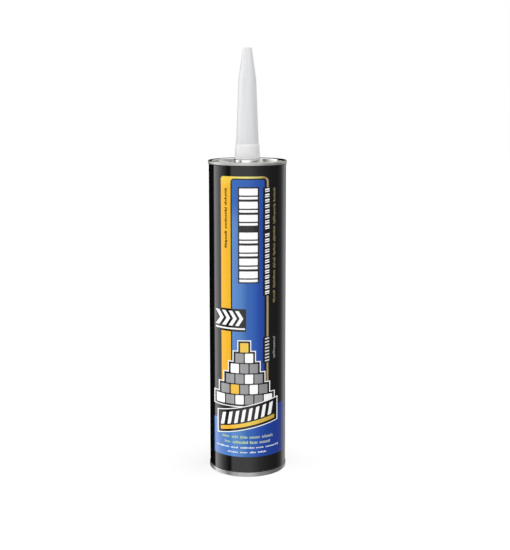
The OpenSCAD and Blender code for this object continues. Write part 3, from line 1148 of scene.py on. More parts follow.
@dataclass
class PanelPrint:
    """Yellow and gold frame round the blue panel."""

    left: float = -16.9
    right: float = 13.7
    low: float = 56.0
    high: float = 198.7
    band: float = 6.2
    top_band: float = 1.25
    side_line: float = 1.2
    side_gap: float = 1.4
    key_line: float = 0.9
    round_left: float = 1.7
    round_right: float = 3.4
    panel_round: float = 1.4
    split_inset: float = 0.6

    def frame_side(self, gold: bool) -> None:
        """Draws the yellow band and top of the frame, or the gold line on its right.

        Args:
            gold: Whether to draw the gold line.
        """
        split = self.right - self.side_line - self.split_inset
        inner_left, inner_right = self.left + self.band, self.right - self.side_line
        inner_high, inner_r = self.high - self.top_band, self.panel_round + self.key_line
        outer = [(self.left, self.low, 0), (self.left, self.high, self.round_left)]
        outer += [(self.right, self.high, self.round_right), (self.right, self.low, 0)]
        inner = [(inner_right, self.low, 0), (inner_right, inner_high, inner_r)]
        inner += [(inner_left, inner_high, inner_r), (inner_left, self.low, 0)]
        polygon(rounded(outer) + rounded(inner))
        plane = {"plane_co": (split * MM, 0, 0), "plane_no": (1, 0, 0)}
        bpy.ops.mesh.bisect(clear_inner=gold, clear_outer=not gold, **plane)

    def blue_panel(self) -> None:
        """Draws the blue panel."""
        left = self.left + self.band + self.key_line
        right = self.right - self.side_line - self.side_gap
        high = self.high - self.top_band - self.key_line
        corners = [(left, self.low, 0), (right, self.low, 0)]
        corners += [(right, high, self.panel_round), (left, high, self.panel_round)]
        polygon(rounded(corners, closed=True))

    def sheets(self) -> list[Sheet]:
        """Lists the sheets of ink."""
        return [
            (Slot.YELLOW, Level.FIELD, lambda: self.frame_side(gold=False)),
            (Slot.GOLD, Level.FIELD, lambda: self.frame_side(gold=True)),
            (Slot.BLUE, Level.FIELD, self.blue_panel),
        ]


@dataclass
class HeadlinePrint:
    """Seven white blocks up the middle of the panel, each a thick bar over a thin one."""

    left: float = -5.1
    right: float = 6.7
    high: float = 191.1
    pitch: float = 8.4
    gap: float = 1.5
    group_gap: float = 3.0
    groups: tuple[int, int] = (3, 4)
    thin_bar: float = 1.6
    thin_gap: float = 0.9
    margin: float = 0.9
    rounding: float = 0.35

    def block_tops(self) -> list[float]:
        """Lists the heights of the blocks' upper sides."""
        lower = self.high - self.groups[0] * self.pitch - self.group_gap
        starts = zip((self.high, lower), self.groups)
        return [start - i * self.pitch for start, count in starts for i in range(count)]

    def blocks(self) -> None:
        """Draws the bars of every block."""
        for high in self.block_tops():
            low = high - self.pitch + self.gap
            rectangle(self.left, self.right, low, low + self.thin_bar, self.rounding)
            rectangle(self.left, self.right, low + self.thin_bar + self.thin_gap, high, self.rounding)

    def ground(self) -> None:
        """Draws the black ground behind the blocks."""
        low = self.block_tops()[-1] - self.pitch + self.gap
        edge = self.margin
        rectangle(self.left - edge, self.right + edge, low - edge, self.high + edge, self.rounding)

    def sheets(self) -> list[Sheet]:
        """Lists the sheets of ink."""
        return [(Slot.PAPER, Level.PLATE, self.ground), (Slot.WHITE, Level.BLOCK, self.blocks)]


@dataclass
class RowPrint:
    """Columns of leaning white bars over the panel's right edge, in pairs, on a black ground."""

    left: float = 11.5
    width: float = 2.7
    gap: float = 0.8
    key_line: float = 0.6
    ground_left: float = 10.1
    ground_right: float = 14.8
    lean: float = 0.45
    columns: tuple[tuple[int, float, float], ...] = ((8, 3.4, 191.1), (12, 3.4, 162.2), (8, 2.1, 93.6))
    first_share: tuple[float, float] = (0.34, 0.5)
    joint_share: float = 0.22
    seed: int = 5

    def marks(self) -> None:
        """Draws the pairs of bars, with seeded widths."""
        draw = random.Random(self.seed)
        right = self.left + self.width
        for count, pitch, high in self.columns:
            body = pitch - self.gap - self.lean
            joint = self.joint_share * body
            for i in range(count):
                top = high - i * pitch
                first = body * draw.uniform(*self.first_share)
                for start, wide in ((top, first), (top - first - joint, body - joint - first)):
                    low = start - self.lean
                    foot = [(self.left, low - wide), (right, start - wide)]
                    polygon(foot + [(right, start), (self.left, low)])

    def ground(self) -> None:
        """Draws the black ground behind the marks, in one piece for the first two columns."""
        for first, last in ((0, 1), (2, 2)):
            count, pitch, high = self.columns[last]
            top = self.columns[first][2] + self.key_line
            rectangle(self.ground_left, self.ground_right, high - count * pitch, top)

    def sheets(self) -> list[Sheet]:
        """Lists the sheets of ink."""
        return [(Slot.PAPER, Level.PLATE, self.ground), (Slot.WHITE, Level.BLOCK, self.marks)]


@dataclass
class SmallPrint:
    """Words of small print, each a run of strokes the size of letters that spell nothing."""

    height: float = 1.5
    gap: float = 1.3
    gold_left: float = 16.6
    band_left: float = -14.55
    high: float = 191.1
    small_high: float = 93.6
    gold_words: tuple[float, ...] = (9, 13, 10, 8, 7, 12, 8)
    band_words: tuple[float, ...] = (11, 14, 11)
    small_words: tuple[float, ...] = (15,)
    rows: tuple[tuple[float, ...], ...] = ((5, 4, 5, 7, 7), (4, 10, 5, 7), (8, 5, 9, 5, 8), (7, 5, 4, 6))
    row_heights: tuple[float, ...] = (27.2, 23.6, 20.0, 16.8)
    row_sizes: tuple[float, ...] = (1.9, 1.9, 1.1, 1.1)
    row_seed: int = 40
    stroke: tuple[float, float] = (0.45, 0.85)
    space: tuple[float, float] = (0.22, 0.3)
    shortest: float = 0.35
    boldest: float = 1.1
    plain_share: float = 0.85
    tail: float = 0.22
    tops: tuple[float, ...] = (0.72, 0.72, 1.0)
    column_share: float = 0.9

    def strokes(self, length: float, seed: int, size: float) -> list[tuple[float, float, float, float]]:
        """Breaks a word into strokes.

        Args:
            length: Length of the word.
            seed: Seed of its pattern.
            size: Height of the print.

        Returns:
            Start, end, foot and top of each stroke along the word, with foot and top as shares of the size.
        """
        draw = random.Random(seed)
        found, at, bold = [], 0.0, min(size / self.height, self.boldest)
        while at < length - self.shortest:
            wide = min(draw.uniform(*self.stroke) * bold, length - at)
            foot = 0.0 if draw.random() < self.plain_share else -self.tail
            found.append((at, at + wide, foot, draw.choice(self.tops)))
            at += wide + draw.uniform(*self.space) / bold
        return found

    def column(self, words: Sequence[float], left: float, high: float, seed: int) -> None:
        """Draws words that run down the label.

        Args:
            words: Lengths of the words.
            left: Left side of the column.
            high: Height of its upper end.
            seed: Seed of its pattern.
        """
        for index, length in enumerate(words):
            for start, end, foot, top in self.strokes(length, seed + index, self.height):
                near = left + (1 - top) * self.height
                far = left + (1 - foot) * self.height * self.column_share
                rectangle(near, far, high - end, high - start)
            high -= length + self.gap

    def row(self, index: int) -> None:
        """Draws one of the four rows of words in the lower band.

        Args:
            index: Number of the row from the top.
        """
        words, middle, size = self.rows[index], self.row_heights[index], self.row_sizes[index]
        left = -(sum(words) + self.gap * (len(words) - 1)) / 2
        low = middle - size / 2
        for number, length in enumerate(words):
            for start, end, foot, top in self.strokes(length, self.row_seed + 10 * index + number, size):
                rectangle(left + start, left + end, low + max(foot, 0) * size, low + top * size)
            left += length + self.gap

    def rows_of(self, *indices: int) -> None:
        """Draws the rows of the given numbers."""
        for index in indices:
            self.row(index)

    def sheets(self) -> list[Sheet]:
        """Lists the sheets of ink."""
        small = (self.small_words, self.gold_left, self.small_high)
        return [
            (Slot.GOLD, Level.FIELD, lambda: self.column(self.gold_words, self.gold_left, self.high, 1)),
            (Slot.PAPER, Level.PLATE, lambda: self.column(self.band_words, self.band_left, self.high, 11)),
            (Slot.GREY, Level.FIELD, lambda: self.column(*small, 21)),
            (Slot.GREEN, Level.PLATE, lambda: self.rows_of(0, 1)),
            (Slot.WHITE, Level.PLATE, lambda: self.rows_of(2, 3)),
        ]


@dataclass
class MotifPrint:
    """Stack of grey, white and yellow blocks in courses, with a black ground and a white line round it."""

    middle: float = -2.0
    low: float = 49.0
    courses: int = 6
    course: float = 7.0
    block: float = 6.2
    joint: float = 0.8
    margin: float = 0.8
    edge: float = 0.6
    rounding: float = 0.45

    def outline(self, grow: float) -> None:
        """Draws the stepped outline of the stack, grown by a margin.

        Args:
            grow: Margin.
        """
        right: list[Point] = []
        for i in range(self.courses):
            half = (self.courses - i) * self.block / 2 + grow
            foot = self.low + i * self.course + (grow if i else -grow)
            right += [(half, foot), (half, self.low + (i + 1) * self.course + grow)]
        points = [(self.middle + x, z) for x, z in right] + [(self.middle - x, z) for x, z in reversed(right)]
        polygon(points)

    def ink(self, course: int, index: int) -> Slot:
        """Names the ink of one block.

        Args:
            course: Number of the course from below.
            index: Number of the block from the left.

        Returns:
            The slot of the ink.
        """
        if course == self.courses - 1 or (course == 1 and index == 1):
            return Slot.YELLOW
        return Slot.WHITE if (course * 2 + index * 3) % 5 < 2 else Slot.GREY

    def blocks(self, ink: Slot) -> None:
        """Draws the blocks of one ink.

        Args:
            ink: Slot of the ink.
        """
        for course in range(self.courses):
            for index in range(self.courses - course):
                if self.ink(course, index) is not ink:
                    continue
                left = self.middle + (index - (self.courses - course) / 2) * self.block + self.joint / 2
                low = self.low + course * self.course + self.joint / 2
                right, high = left + self.block - self.joint, low + self.course - self.joint
                rectangle(left, right, low, high, self.rounding)

    def sheets(self) -> list[Sheet]:
        """Lists the sheets of ink."""
        return [
            (Slot.WHITE, Level.EDGE, lambda: self.outline(self.margin + self.edge)),
            (Slot.PAPER, Level.PLATE, lambda: self.outline(self.margin)),
            (Slot.WHITE, Level.BLOCK, lambda: self.blocks(Slot.WHITE)),
            (Slot.GREY, Level.BLOCK, lambda: self.blocks(Slot.GREY)),
            (Slot.YELLOW, Level.BLOCK, lambda: self.blocks(Slot.YELLOW)),
        ]


@dataclass
class TagPrint:
    """Black tag with four white arrows and a rule, across the frame's left side."""

    left: float = -21.5
    right: float = -0.7
    middle: float = 105.5
    height: float = 15.0
    arrows: int = 4
    margin: float = 0.8
    arrow_margin: float = 1.4
    rule: float = 1.0
    rounding: float = 0.5
    rule_round: float = 0.2
    arrow_shares: tuple[float, float, float] = (0.55, 1.25, 0.7)

    def ground(self) -> None:
        """Draws the tag's black ground."""
        low, high = self.middle - self.height / 2, self.middle + self.height / 2
        rectangle(self.left, self.right, low, high, self.rounding)

    def drawing(self) -> None:
        """Draws the arrows and the rule."""
        rule_low = self.middle - self.height / 2 + self.arrow_margin
        low = rule_low + self.rule + self.arrow_margin
        high = self.middle + self.height / 2 - self.arrow_margin
        half = (low + high) / 2
        pitch = (self.right - self.left - 2 * self.margin) / (self.arrows + 0.5)
        for i in range(self.arrows):
            x = self.left + self.margin + i * pitch
            shoulder, tip, notch = (x + pitch * share for share in self.arrow_shares)
            upper = [(shoulder, high), (x, high), (notch, half)]
            polygon([(x, low), (shoulder, low), (tip, half)] + upper)
        rule_high = rule_low + self.rule
        rectangle(self.left + self.margin, self.right - self.margin, rule_low, rule_high, self.rule_round)

    def sheets(self) -> list[Sheet]:
        """Lists the sheets of ink."""
        return [(Slot.PAPER, Level.PLATE, self.ground), (Slot.WHITE, Level.BLOCK, self.drawing)]


@dataclass
class RibbonPrint:
    """Slanting black ribbon with leaning white stripes over a yellow rule."""

    middle: float = 40.6
    height: float = 13.4
    half: float = 18.4
    slant: float = 0.22
    stripes: int = 8
    lean: float = 1.35
    rule: float = 2.6
    margin: float = 0.8
    edge: float = 0.6
    rounding: float = 0.25

    def strip(self, half: float, middle: float, height: float) -> None:
        """Draws a slanting strip across the label.

        Args:
            half: Half of its width.
            middle: Height of its middle.
            height: Height of the strip.
        """
        rise, reach = self.slant * half, height / 2
        corners = [(-half, middle - rise - reach), (half, middle + rise - reach)]
        polygon(corners + [(half, middle + rise + reach), (-half, middle - rise + reach)])

    def ground(self, grow: float) -> None:
        """Draws the whole ribbon, grown by a margin."""
        self.strip(self.half + grow, self.middle, self.height + 2 * grow)

    def stripes_drawing(self) -> None:
        """Draws the white stripes."""
        low = self.middle - self.height / 2 + self.rule + 2 * self.margin
        high = self.middle + self.height / 2 - self.margin
        pitch = (2 * self.half - 2 * self.margin) / self.stripes
        for i in range(self.stripes):
            x0 = -self.half + self.margin + i * pitch
            x1 = x0 + pitch - self.margin
            rise0, rise1 = self.slant * x0, self.slant * x1
            corners = [(x0, low + rise0), (x1 - self.lean, low + rise1)]
            corners += [(x1, high + rise1), (x0 + self.lean, high + rise0)]
            polygon(rounded([(x, z, self.rounding) for x, z in corners], closed=True, steps=2))

    def rule_drawing(self) -> None:
        """Draws the yellow rule."""
        middle = self.middle - self.height / 2 + self.margin + self.rule / 2
        self.strip(self.half - self.margin, middle, self.rule)

    def sheets(self) -> list[Sheet]:
        """Lists the sheets of ink."""
        return [
            (Slot.WHITE, Level.RIBBON_EDGE, lambda: self.ground(self.margin + self.edge)),
            (Slot.PAPER, Level.RIBBON_PLATE, lambda: self.ground(self.margin)),
            (Slot.WHITE, Level.TOP, self.stripes_drawing),
            (Slot.YELLOW, Level.TOP, self.rule_drawing),
        ]


@dataclass
class LowerBand:
    """Blue band all round the foot of the label, with a slanting upper edge."""

    low: float = 13.6
    high: float = 43.0
    slant: float = 0.22
    reach: float = 60.0

    def build(self) -> bpy.types.Object:
        """Turns the band, cuts its upper edge on the slant and gives it thickness.

        Returns:
            The band's mesh object.
        """
        radius = LABEL_R + Level.FIELD.value
        outline = [(radius, self.low), (radius, self.reach)]
        band = lathe("blue_band", outline, closed=False, steps=LABEL_STEPS, turn=360 - BACK_GAP_TURN)
        work_on(band)
        bpy.ops.mesh.bisect(plane_co=(0, 0, self.high * MM), plane_no=(-self.slant, 0, 1), clear_outer=True)
        bpy.ops.object.mode_set(mode="OBJECT")
        face_outwards(band)
        thicken(band, Level.FIELD)
        return band


@dataclass
class Label:
    """Black paper label with all its inks."""

    low: float = 1.2
    high: float = 205.8
    thickness: float = 0.2
    prints: tuple = (
        PanelPrint(),
        HeadlinePrint(),
        RowPrint(),
        SmallPrint(),
        MotifPrint(),
        TagPrint(),
        RibbonPrint(),
    )

    def build_paper(self, effects: Effects) -> bpy.types.Material:
        """Turns the paper round the tube, leaving the line at the back where its ends meet.

        Args:
            effects: Shared node groups.

        Returns:
            The paper's material, for the black print.
        """
        outline = wall_section(LABEL_R - self.thickness, LABEL_R, self.low, self.high)
        paper = lathe("label_paper", outline, closed=True, steps=LABEL_STEPS, turn=360 - BACK_GAP_TURN)
        finish = PAPER.material(effects)
        dress(paper, Body.CARTRIDGE, finish, ["label_wrap"])
        return finish

    def build_inks(self, effects: Effects, paper: bpy.types.Material) -> None:
        """Draws every sheet of ink, lays it on the tube and joins the sheets of each ink.

        Args:
            effects: Shared node groups.
            paper: Material for the black print.
        """
        layers: dict[Slot, list[bpy.types.Object]] = {Slot.BLUE: [LowerBand().build()]}
        for design in self.prints:
            for slot, level, draw in design.sheets():
                sheet = begin("sheet")
                draw()
                lay_on_tube(sheet, level)
                layers.setdefault(slot, []).append(sheet)
        for slot, sheets in layers.items():
            if slot is Slot.PAPER:
                dress(join(sheets, "black_print"), Body.CARTRIDGE, paper)
                continue
            colour = slot.value.removeprefix("ink_")
            ink = INKS[slot].material(effects)
            dress(join(sheets, colour + "_print"), Body.CARTRIDGE, ink, ["print_" + colour])


# Tube, ends, nozzle and piston


@dataclass
class BoardTube:
    """Board tube behind the label."""

    outer_r: float = 25.15
    bore_r: float = 23.75
    low: float = 0.7
    high: float = 207.05
    edge: float = 0.15

    def build(self, effects: Effects) -> None:
        """Turns the tube and dresses it.

        Args:
            effects: Shared node groups.
        """
        section = wall_section(self.bore_r, self.outer_r, self.low, self.high)
        corners = [(radius, height, self.edge) for radius, height in section]
        tube = lathe("board_tube", rounded(corners, closed=True, steps=2), closed=True, steps=200)
        dress(tube, Body.CARTRIDGE, BoardFinish().material(effects), ["body_tube"])


@dataclass
class FrontEnd:
    """Tinplate front end, one sheet from the seam's hook to the neck inside the nozzle."""

    seam_r: float = 26.0
    seam_low: float = 205.2
    seam_high: float = 207.6
    seam_round: float = 0.45
    seam_fall: float = 0.4
    wall_r: float = 23.3
    groove_floor: float = 202.9
    groove_r: float = 21.9
    panel: float = 204.3
    bead_out: float = 17.4
    bead_in: float = 13.2
    bead_h: float = 0.35
    boss_r: float = 8.85
    boss_high: float = 208.2
    neck_r: float = 7.0
    neck_high: float = 216.0
    sheet: float = 0.35

    def build(self, finish: bpy.types.Material) -> None:
        """Turns the folded sheet and dresses it.

        Args:
            finish: Tinplate.
        """
        bead = self.panel + self.bead_h
        line = rounded(
            [
                (self.seam_r - 0.4, self.seam_low, 0),
                (self.seam_r, self.seam_low + 0.6, 1.0),
                (self.seam_r, self.seam_high - 0.9, 1.0),
                (self.seam_r - 0.35, self.seam_high, self.seam_round),
                (self.wall_r, self.seam_high - self.seam_fall, 2 * self.seam_round),
                (self.wall_r, self.groove_floor, 0.5),
                (self.groove_r, self.groove_floor, 0.5),
                (self.groove_r, self.panel, 0.4),
                (self.bead_out, self.panel, 0.5),
                (self.bead_out - 0.6, bead, 0.5),
                (self.bead_in + 0.6, bead, 0.5),
                (self.bead_in, self.panel, 0.5),
                (self.boss_r, self.panel, 0.9),
                (self.boss_r, self.boss_high, 0.7),
                (self.neck_r, self.boss_high, 0.3),
                (self.neck_r, self.neck_high, 0),
            ]
        )
        end = lathe("front_end", thick_line(line, self.sheet), closed=True)
        dress(end, Body.CARTRIDGE, finish, ["top_end"])


@dataclass
class RearRing:
    """Tinplate ring folded round the rear end of the tube."""

    outer_r: float = 25.75
    inner_r: float = 23.3
    high: float = 2.9
    inner_high: float = 3.6
    foot_round: float = 0.5
    groove: float = 1.55
    sheet: float = 0.25

    def build(self, finish: bpy.types.Material) -> None:
        """Turns the ring and dresses it.

        Args:
            finish: Tinplate.
        """
        line = rounded(
            [
                (self.outer_r - 0.1, self.high, 0),
                (self.outer_r, self.high - 0.25, 0.2),
                (self.outer_r, self.groove + 0.25, 0.2),
                (self.outer_r - 0.14, self.groove, 0.1),
                (self.outer_r, self.groove - 0.25, 0.2),
                (self.outer_r, 0, self.foot_round),
                (self.inner_r, 0, self.foot_round),
                (self.inner_r, self.inner_high - 0.2, 0.1),
                (self.inner_r + 0.1, self.inner_high, 0),
            ],
            steps=4,
        )
        ring = lathe("rear_fold", thick_line(line, -self.sheet), closed=True)
        dress(ring, Body.CARTRIDGE, finish, ["rear_ring"])


@dataclass
class Nozzle:
    """Tapered plastic nozzle with a thicker skirt and a closed tip."""

    foot: float = 208.2
    foot_r: float = 8.4
    skirt_r: float = 7.8
    skirt_high: float = 217.4
    barrel_r: float = 7.35
    bend_r: float = 5.75
    bend: float = 259.8
    tip_r: float = 2.85
    tip: float = 280.0
    wall: float = 1.2
    tip_wall: float = 1.6
    socket_r: float = 7.05
    socket_high: float = 216.15

    def build(self, effects: Effects) -> None:
        """Turns the nozzle and dresses it.

        Args:
            effects: Shared node groups.
        """
        shoulder = self.skirt_high + self.foot_r - self.skirt_r + 0.3
        outline = rounded(
            [
                (0, self.tip - 0.3, 0),
                (self.tip_r - 1.5, self.tip - 0.3, 0.3),
                (self.tip_r - 1.1, self.tip, 0.2),
                (self.tip_r, self.tip, 0.35),
                (self.bend_r, self.bend, 14),
                (self.barrel_r, shoulder, 0.8),
                (self.skirt_r, self.skirt_high, 0.8),
                (self.foot_r, self.foot, 0.4),
                (self.socket_r, self.foot, 0.2),
                (self.socket_r, self.socket_high, 0),
                (self.barrel_r - self.wall, self.socket_high, 0.2),
                (self.bend_r - self.wall, self.bend, 8),
                (self.tip_r - self.wall, self.tip - self.tip_wall, 0.3),
                (0, self.tip - self.tip_wall, 0),
            ]
        )
        nozzle = lathe("nozzle_shell", outline, closed=False, steps=128)
        dress(nozzle, Body.CARTRIDGE, NOZZLE_PLASTIC.material(effects), ["nozzle"])


@dataclass
class NeckFoil:
    """Foil that seals the neck inside the nozzle."""

    low: float = 216.0
    radius: float = 6.95
    thickness: float = 0.1
    dish: float = 0.05
    rim_dish: float = 0.04
    dish_r: float = 4.8
    rim_r: float = 5.6

    def build(self, effects: Effects) -> None:
        """Turns the dished foil and dresses it.

        Args:
            effects: Shared node groups.
        """
        high = self.low + self.thickness
        outline = [(0, high - self.dish), (self.dish_r, high - self.rim_dish), (self.rim_r, high)]
        outline += [(self.radius, high), (self.radius, self.low), (0, self.low)]
        foil = lathe("neck_seal", outline, closed=False, steps=96)
        dress(foil, Body.CARTRIDGE, FoilFinish().material(effects), ["nozzle_foil"])


@dataclass
class Piston:
    """Moulded piston: a cup with two sealing lips, a hub and six ribs under its crown."""

    low: float = 12.0
    high: float = 26.5
    lip_r: float = 23.67
    waist_r: float = 23.07
    inner_r: float = 21.57
    lip_h: float = 2.2
    crown: float = 2.0
    hub_r: float = 5.0
    rib_low: float = 17.5
    rib_t: float = 1.2
    ribs: int = 6
    rib_into_hub: float = 1.0
    rib_into_wall: float = 0.4
    rib_thinning: float = 0.75
    rib_round: float = 0.3

    def build_cup(self) -> bpy.types.Object:
        """Turns the cup and its hub.

        Returns:
            The cup's mesh object.
        """
        crown_low = self.high - self.crown
        outline = rounded(
            [
                (0, self.high - 0.4, 0),
                (3.0, self.high - 0.4, 0.4),
                (4.0, self.high, 0.4),
                (self.lip_r - 0.4, self.high, 0.3),
                (self.lip_r, self.high - 0.7, 0.3),
                (self.lip_r, self.high - self.lip_h, 0.2),
                (self.waist_r, self.high - self.lip_h - 0.4, 0.3),
                (self.waist_r, self.low + self.lip_h + 0.4, 0.3),
                (self.lip_r, self.low + self.lip_h, 0.2),
                (self.lip_r, self.low + 0.5, 0.3),
                (self.lip_r - 0.5, self.low, 0.2),
                (self.inner_r, self.low, 0.4),
                (self.inner_r - 0.15, crown_low, 1.0),
                (self.hub_r + 0.2, crown_low, 0.8),
                (self.hub_r, self.rib_low, 0.4),
                (1.6, self.rib_low, 0.2),
                (1.2, self.rib_low + 0.5, 0.2),
                (0, self.rib_low + 0.5, 0),
            ]
        )
        return lathe("piston_cup", outline, closed=False, steps=144)

    def build_rib(self) -> bpy.types.Object:
        """Shapes one rib along +X, thinner at its free edge.

        Returns:
            The rib's mesh object.
        """
        start, end = self.hub_r - self.rib_into_hub, self.inner_r + self.rib_into_wall
        crown_low = self.high - self.crown
        middle = ((start + end) / 2 * MM, 0, (self.rib_low + crown_low) / 2 * MM)
        clear_selection()
        bpy.ops.mesh.primitive_cube_add(size=MM, location=middle)
        rib = bpy.context.object
        bpy.ops.object.mode_set(mode="EDIT")
        size = (end - start, self.rib_t, crown_low - self.rib_low + self.rib_into_wall)
        bpy.ops.transform.resize(value=size, center_override=middle)
        bpy.ops.mesh.select_all(action="DESELECT")
        bpy.ops.object.mode_set(mode="OBJECT")
        lowest = min(vertex.co.z for vertex in rib.data.vertices)
        for face in rib.data.polygons:
            face.select = all(abs(rib.data.vertices[v].co.z - lowest) < MERGE for v in face.vertices)
        bpy.ops.object.mode_set(mode="EDIT")
        bpy.ops.mesh.select_mode(type="FACE")
        bpy.ops.transform.resize(value=(1, self.rib_thinning, 1), center_override=middle)
        bpy.ops.mesh.bevel(offset=self.rib_round * MM, segments=3)
        bpy.ops.mesh.select_mode(type="VERT")
        bpy.ops.object.mode_set(mode="OBJECT")
        bpy.ops.object.transform_apply(location=True, rotation=True, scale=True)
        return rib

    def build(self, effects: Effects) -> None:
        """Builds the cup, copies the rib round it and dresses the piston.

        Args:
            effects: Shared node groups.
        """
        parts = [self.build_cup()]
        rib = self.build_rib()
        for index in range(self.ribs):
            copy = rib.copy()
            copy.data = rib.data.copy()
            bpy.context.scene.collection.objects.link(copy)
            choose(copy)
            copy.rotation_euler.z = 2 * math.pi * index / self.ribs
            bpy.ops.object.transform_apply(location=False, rotation=True, scale=False)
            parts.append(copy)
        bpy.data.objects.remove(rib)
        piston = join(parts, "moulded_piston")
        smooth(piston)
        dress(piston, Body.PISTON, PISTON_PLASTIC.material(effects), ["piston"])


@dataclass
class Adhesive:
    """Column of paste between the piston and the front end."""

    low: float = 26.52
    high: float = 202.45
    radius: float = 23.65
    travel: float = 175.6

    def build(self, effects: Effects) -> None:
        """Turns the column, dresses it and ties it to the cartridge.

        Args:
            effects: Shared node groups.
        """
        outline = rounded(
            [
                (0, self.high, 0),
                (self.radius - 2.2, self.high, 0.8),
                (self.radius, self.high - 1.2, 1.0),
                (self.radius, self.low, 0.5),
                (0, self.low, 0),
            ]
        )
        column = lathe("paste_column", outline, closed=False, steps=128)
        dress(column, Body.CARTRIDGE, PasteFinish().material(effects), ["adhesive_fill"])
        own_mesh(column)


# Studio


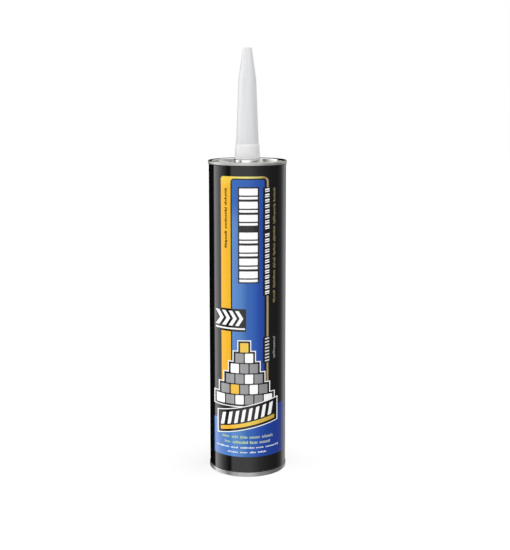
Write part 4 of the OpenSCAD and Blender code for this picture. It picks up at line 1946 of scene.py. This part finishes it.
@dataclass
class Studio:
    """Pale floor, soft world light between dark flags, and the camera."""

    camera_back: float = 700.0
    camera_high: float = 256.9
    camera_side: float = 4.97
    tilt: float = 8.58
    lens: float = 69.88
    shift_y: float = -0.055
    sensor: float = 36.0
    floor_size: float = 6.0
    floor_sink: float = 0.05
    floor_tone: float = 0.35
    floor_glow: float = 0.7
    strength: float = 3.1
    underneath: float = 0.95
    above: Point = (0.36, 0.66)
    overhead: Point = (0.55, 0.8)
    below: Point = (-0.5, -0.8)
    round_stops: tuple[Point, ...] = (
        (-180, 0.0),
        (-119, 0.0),
        (-115.5, 3.0),
        (-102, 2.6),
        (-92, 1.9),
        (-79, 0.95),
        (-73, 0.7),
        (-63, 0.19),
        (-53, 0.04),
        (-47, 1.45),
        (5, 1.43),
        (18, 1.13),
        (36, 0.63),
        (56, 0.38),
        (78, 0.23),
        (97, 0.16),
        (112, 0.24),
        (121, 0.34),
        (128, 0.68),
        (144, 0.93),
        (156, 0.55),
        (165, 0.3),
        (180, 0.0),
    )
    high_stops: tuple[Point, ...] = (
        (-180, 0.1),
        (-140, 0.2),
        (-110, 1.25),
        (-20, 1.15),
        (60, 1.9),
        (120, 1.9),
        (160, 0.2),
        (180, 0.1),
    )

    def sweep(self, graph: Graph, turn: bpy.types.NodeSocket, stops: Sequence[Point]) -> bpy.types.NodeSocket:
        """Adds a grey ramp over a turn that starts at the back, its stops in degrees from the front."""
        greys = [((degrees + 180) / 360, (level / self.strength,) * 3) for degrees, level in stops]
        return graph.ramp(turn, greys)

    def build_world(self) -> None:
        """Builds the world: a soft light that changes round the object, and white to the camera.

        Reflections see the white above and below too, and the soft boxes and dark flags round the horizon.
        """
        world = bpy.data.worlds.new("studio_light")
        world.use_nodes = True
        bpy.context.scene.world = world
        graph = Graph(world.node_tree)
        world.node_tree.nodes.clear()
        x, y, z = graph.parts(graph.add("TexCoord").outputs["Generated"])
        angle = graph.math("ARCTAN2", x, graph.math("MULTIPLY", y, -1.0))
        turn = graph.math("ADD", graph.math("DIVIDE", angle, 2 * math.pi), 0.5)
        above, overhead, below = (graph.span(z, *ends) for ends in (self.above, self.overhead, self.below))
        horizon = self.sweep(graph, turn, self.round_stops)
        colour = graph.mix(above, horizon, self.sweep(graph, turn, self.high_stops))
        colour = graph.mix(below, colour, (self.underneath / self.strength,) * 3)
        studio, white = graph.add("Background"), graph.add("Background")
        graph.feed(studio.inputs[0], colour)
        studio.inputs[1].default_value = self.strength
        white.inputs[0].default_value = (1, 1, 1, 1)
        path, shown = graph.add("LightPath"), graph.add("MixShader")
        seen = graph.math("MAXIMUM", path.outputs["Is Camera Ray"], path.outputs["Is Transmission Ray"])
        open_sides = graph.math("MAXIMUM", overhead, below)
        seen = graph.math("MAXIMUM", seen, graph.math("MULTIPLY", path.outputs["Is Glossy Ray"], open_sides))
        graph.feed(shown.inputs[0], seen)
        graph.feed(shown.inputs[1], studio.outputs[0])
        graph.feed(shown.inputs[2], white.outputs[0])
        graph.feed(graph.add("OutputWorld").inputs[0], shown.outputs[0])

    def build_floor(self) -> None:
        """Builds the floor: white to the camera, with the object's soft shadow, and clear from below."""
        clear_selection()
        place = (0, 0, -self.floor_sink * MM)
        bpy.ops.mesh.primitive_plane_add(size=self.floor_size, location=place)
        floor = bpy.context.object
        floor.name = "floor"
        bpy.ops.object.transform_apply(location=True, rotation=False, scale=False)
        material = bpy.data.materials.new("pale_floor")
        material.use_nodes = True
        graph = Graph(material.node_tree)
        material.node_tree.nodes.clear()
        diffuse, glow, clear = graph.add("BsdfDiffuse"), graph.add("Emission"), graph.add("BsdfTransparent")
        graph.feed(diffuse.inputs[0], (self.floor_tone,) * 3)
        camera_ray = graph.add("LightPath").outputs["Is Camera Ray"]
        graph.feed(glow.inputs["Strength"], graph.math("MULTIPLY", camera_ray, self.floor_glow))
        both, side = graph.add("AddShader"), graph.add("MixShader")
        graph.feed(both.inputs[0], diffuse.outputs[0])
        graph.feed(both.inputs[1], glow.outputs[0])
        graph.feed(side.inputs[0], graph.add("NewGeometry").outputs["Backfacing"])
        graph.feed(side.inputs[1], both.outputs[0])
        graph.feed(side.inputs[2], clear.outputs[0])
        graph.feed(graph.add("OutputMaterial").inputs[0], side.outputs[0])
        floor.data.materials.append(material)
        floor.visible_glossy = floor.visible_diffuse = floor.visible_shadow = False

    def build_camera(self) -> None:
        """Places the camera where the photograph was taken from."""
        data = bpy.data.cameras.new("camera")
        camera = bpy.data.objects.new("camera", data)
        bpy.context.scene.collection.objects.link(camera)
        camera.location = (self.camera_side * MM, -self.camera_back * MM, self.camera_high * MM)
        camera.rotation_euler = (math.radians(90 - self.tilt), 0, 0)
        data.lens, data.sensor_width, data.shift_y = self.lens, self.sensor, self.shift_y
        bpy.context.scene.camera = camera

    def build(self) -> None:
        """Builds the whole studio."""
        self.build_world()
        self.build_floor()
        self.build_camera()
        bpy.context.scene.view_settings.view_transform = "Standard"


def main() -> None:
    """Builds the studio and every piece in order."""
    logging.basicConfig(level=logging.INFO, format="%(message)s")
    Studio().build()
    effects = Effects()
    BoardTube().build(effects)
    label = Label()
    label.build_inks(effects, label.build_paper(effects))
    FrontEnd().build(BRIGHT_TINPLATE.material(effects))
    Nozzle().build(effects)
    NeckFoil().build(effects)
    RearRing().build(SHADED_REAR_TINPLATE.material(effects))
    Piston().build(effects)
    Adhesive().build(effects)
    clear_selection()


if __name__ == "__main__":
    main()
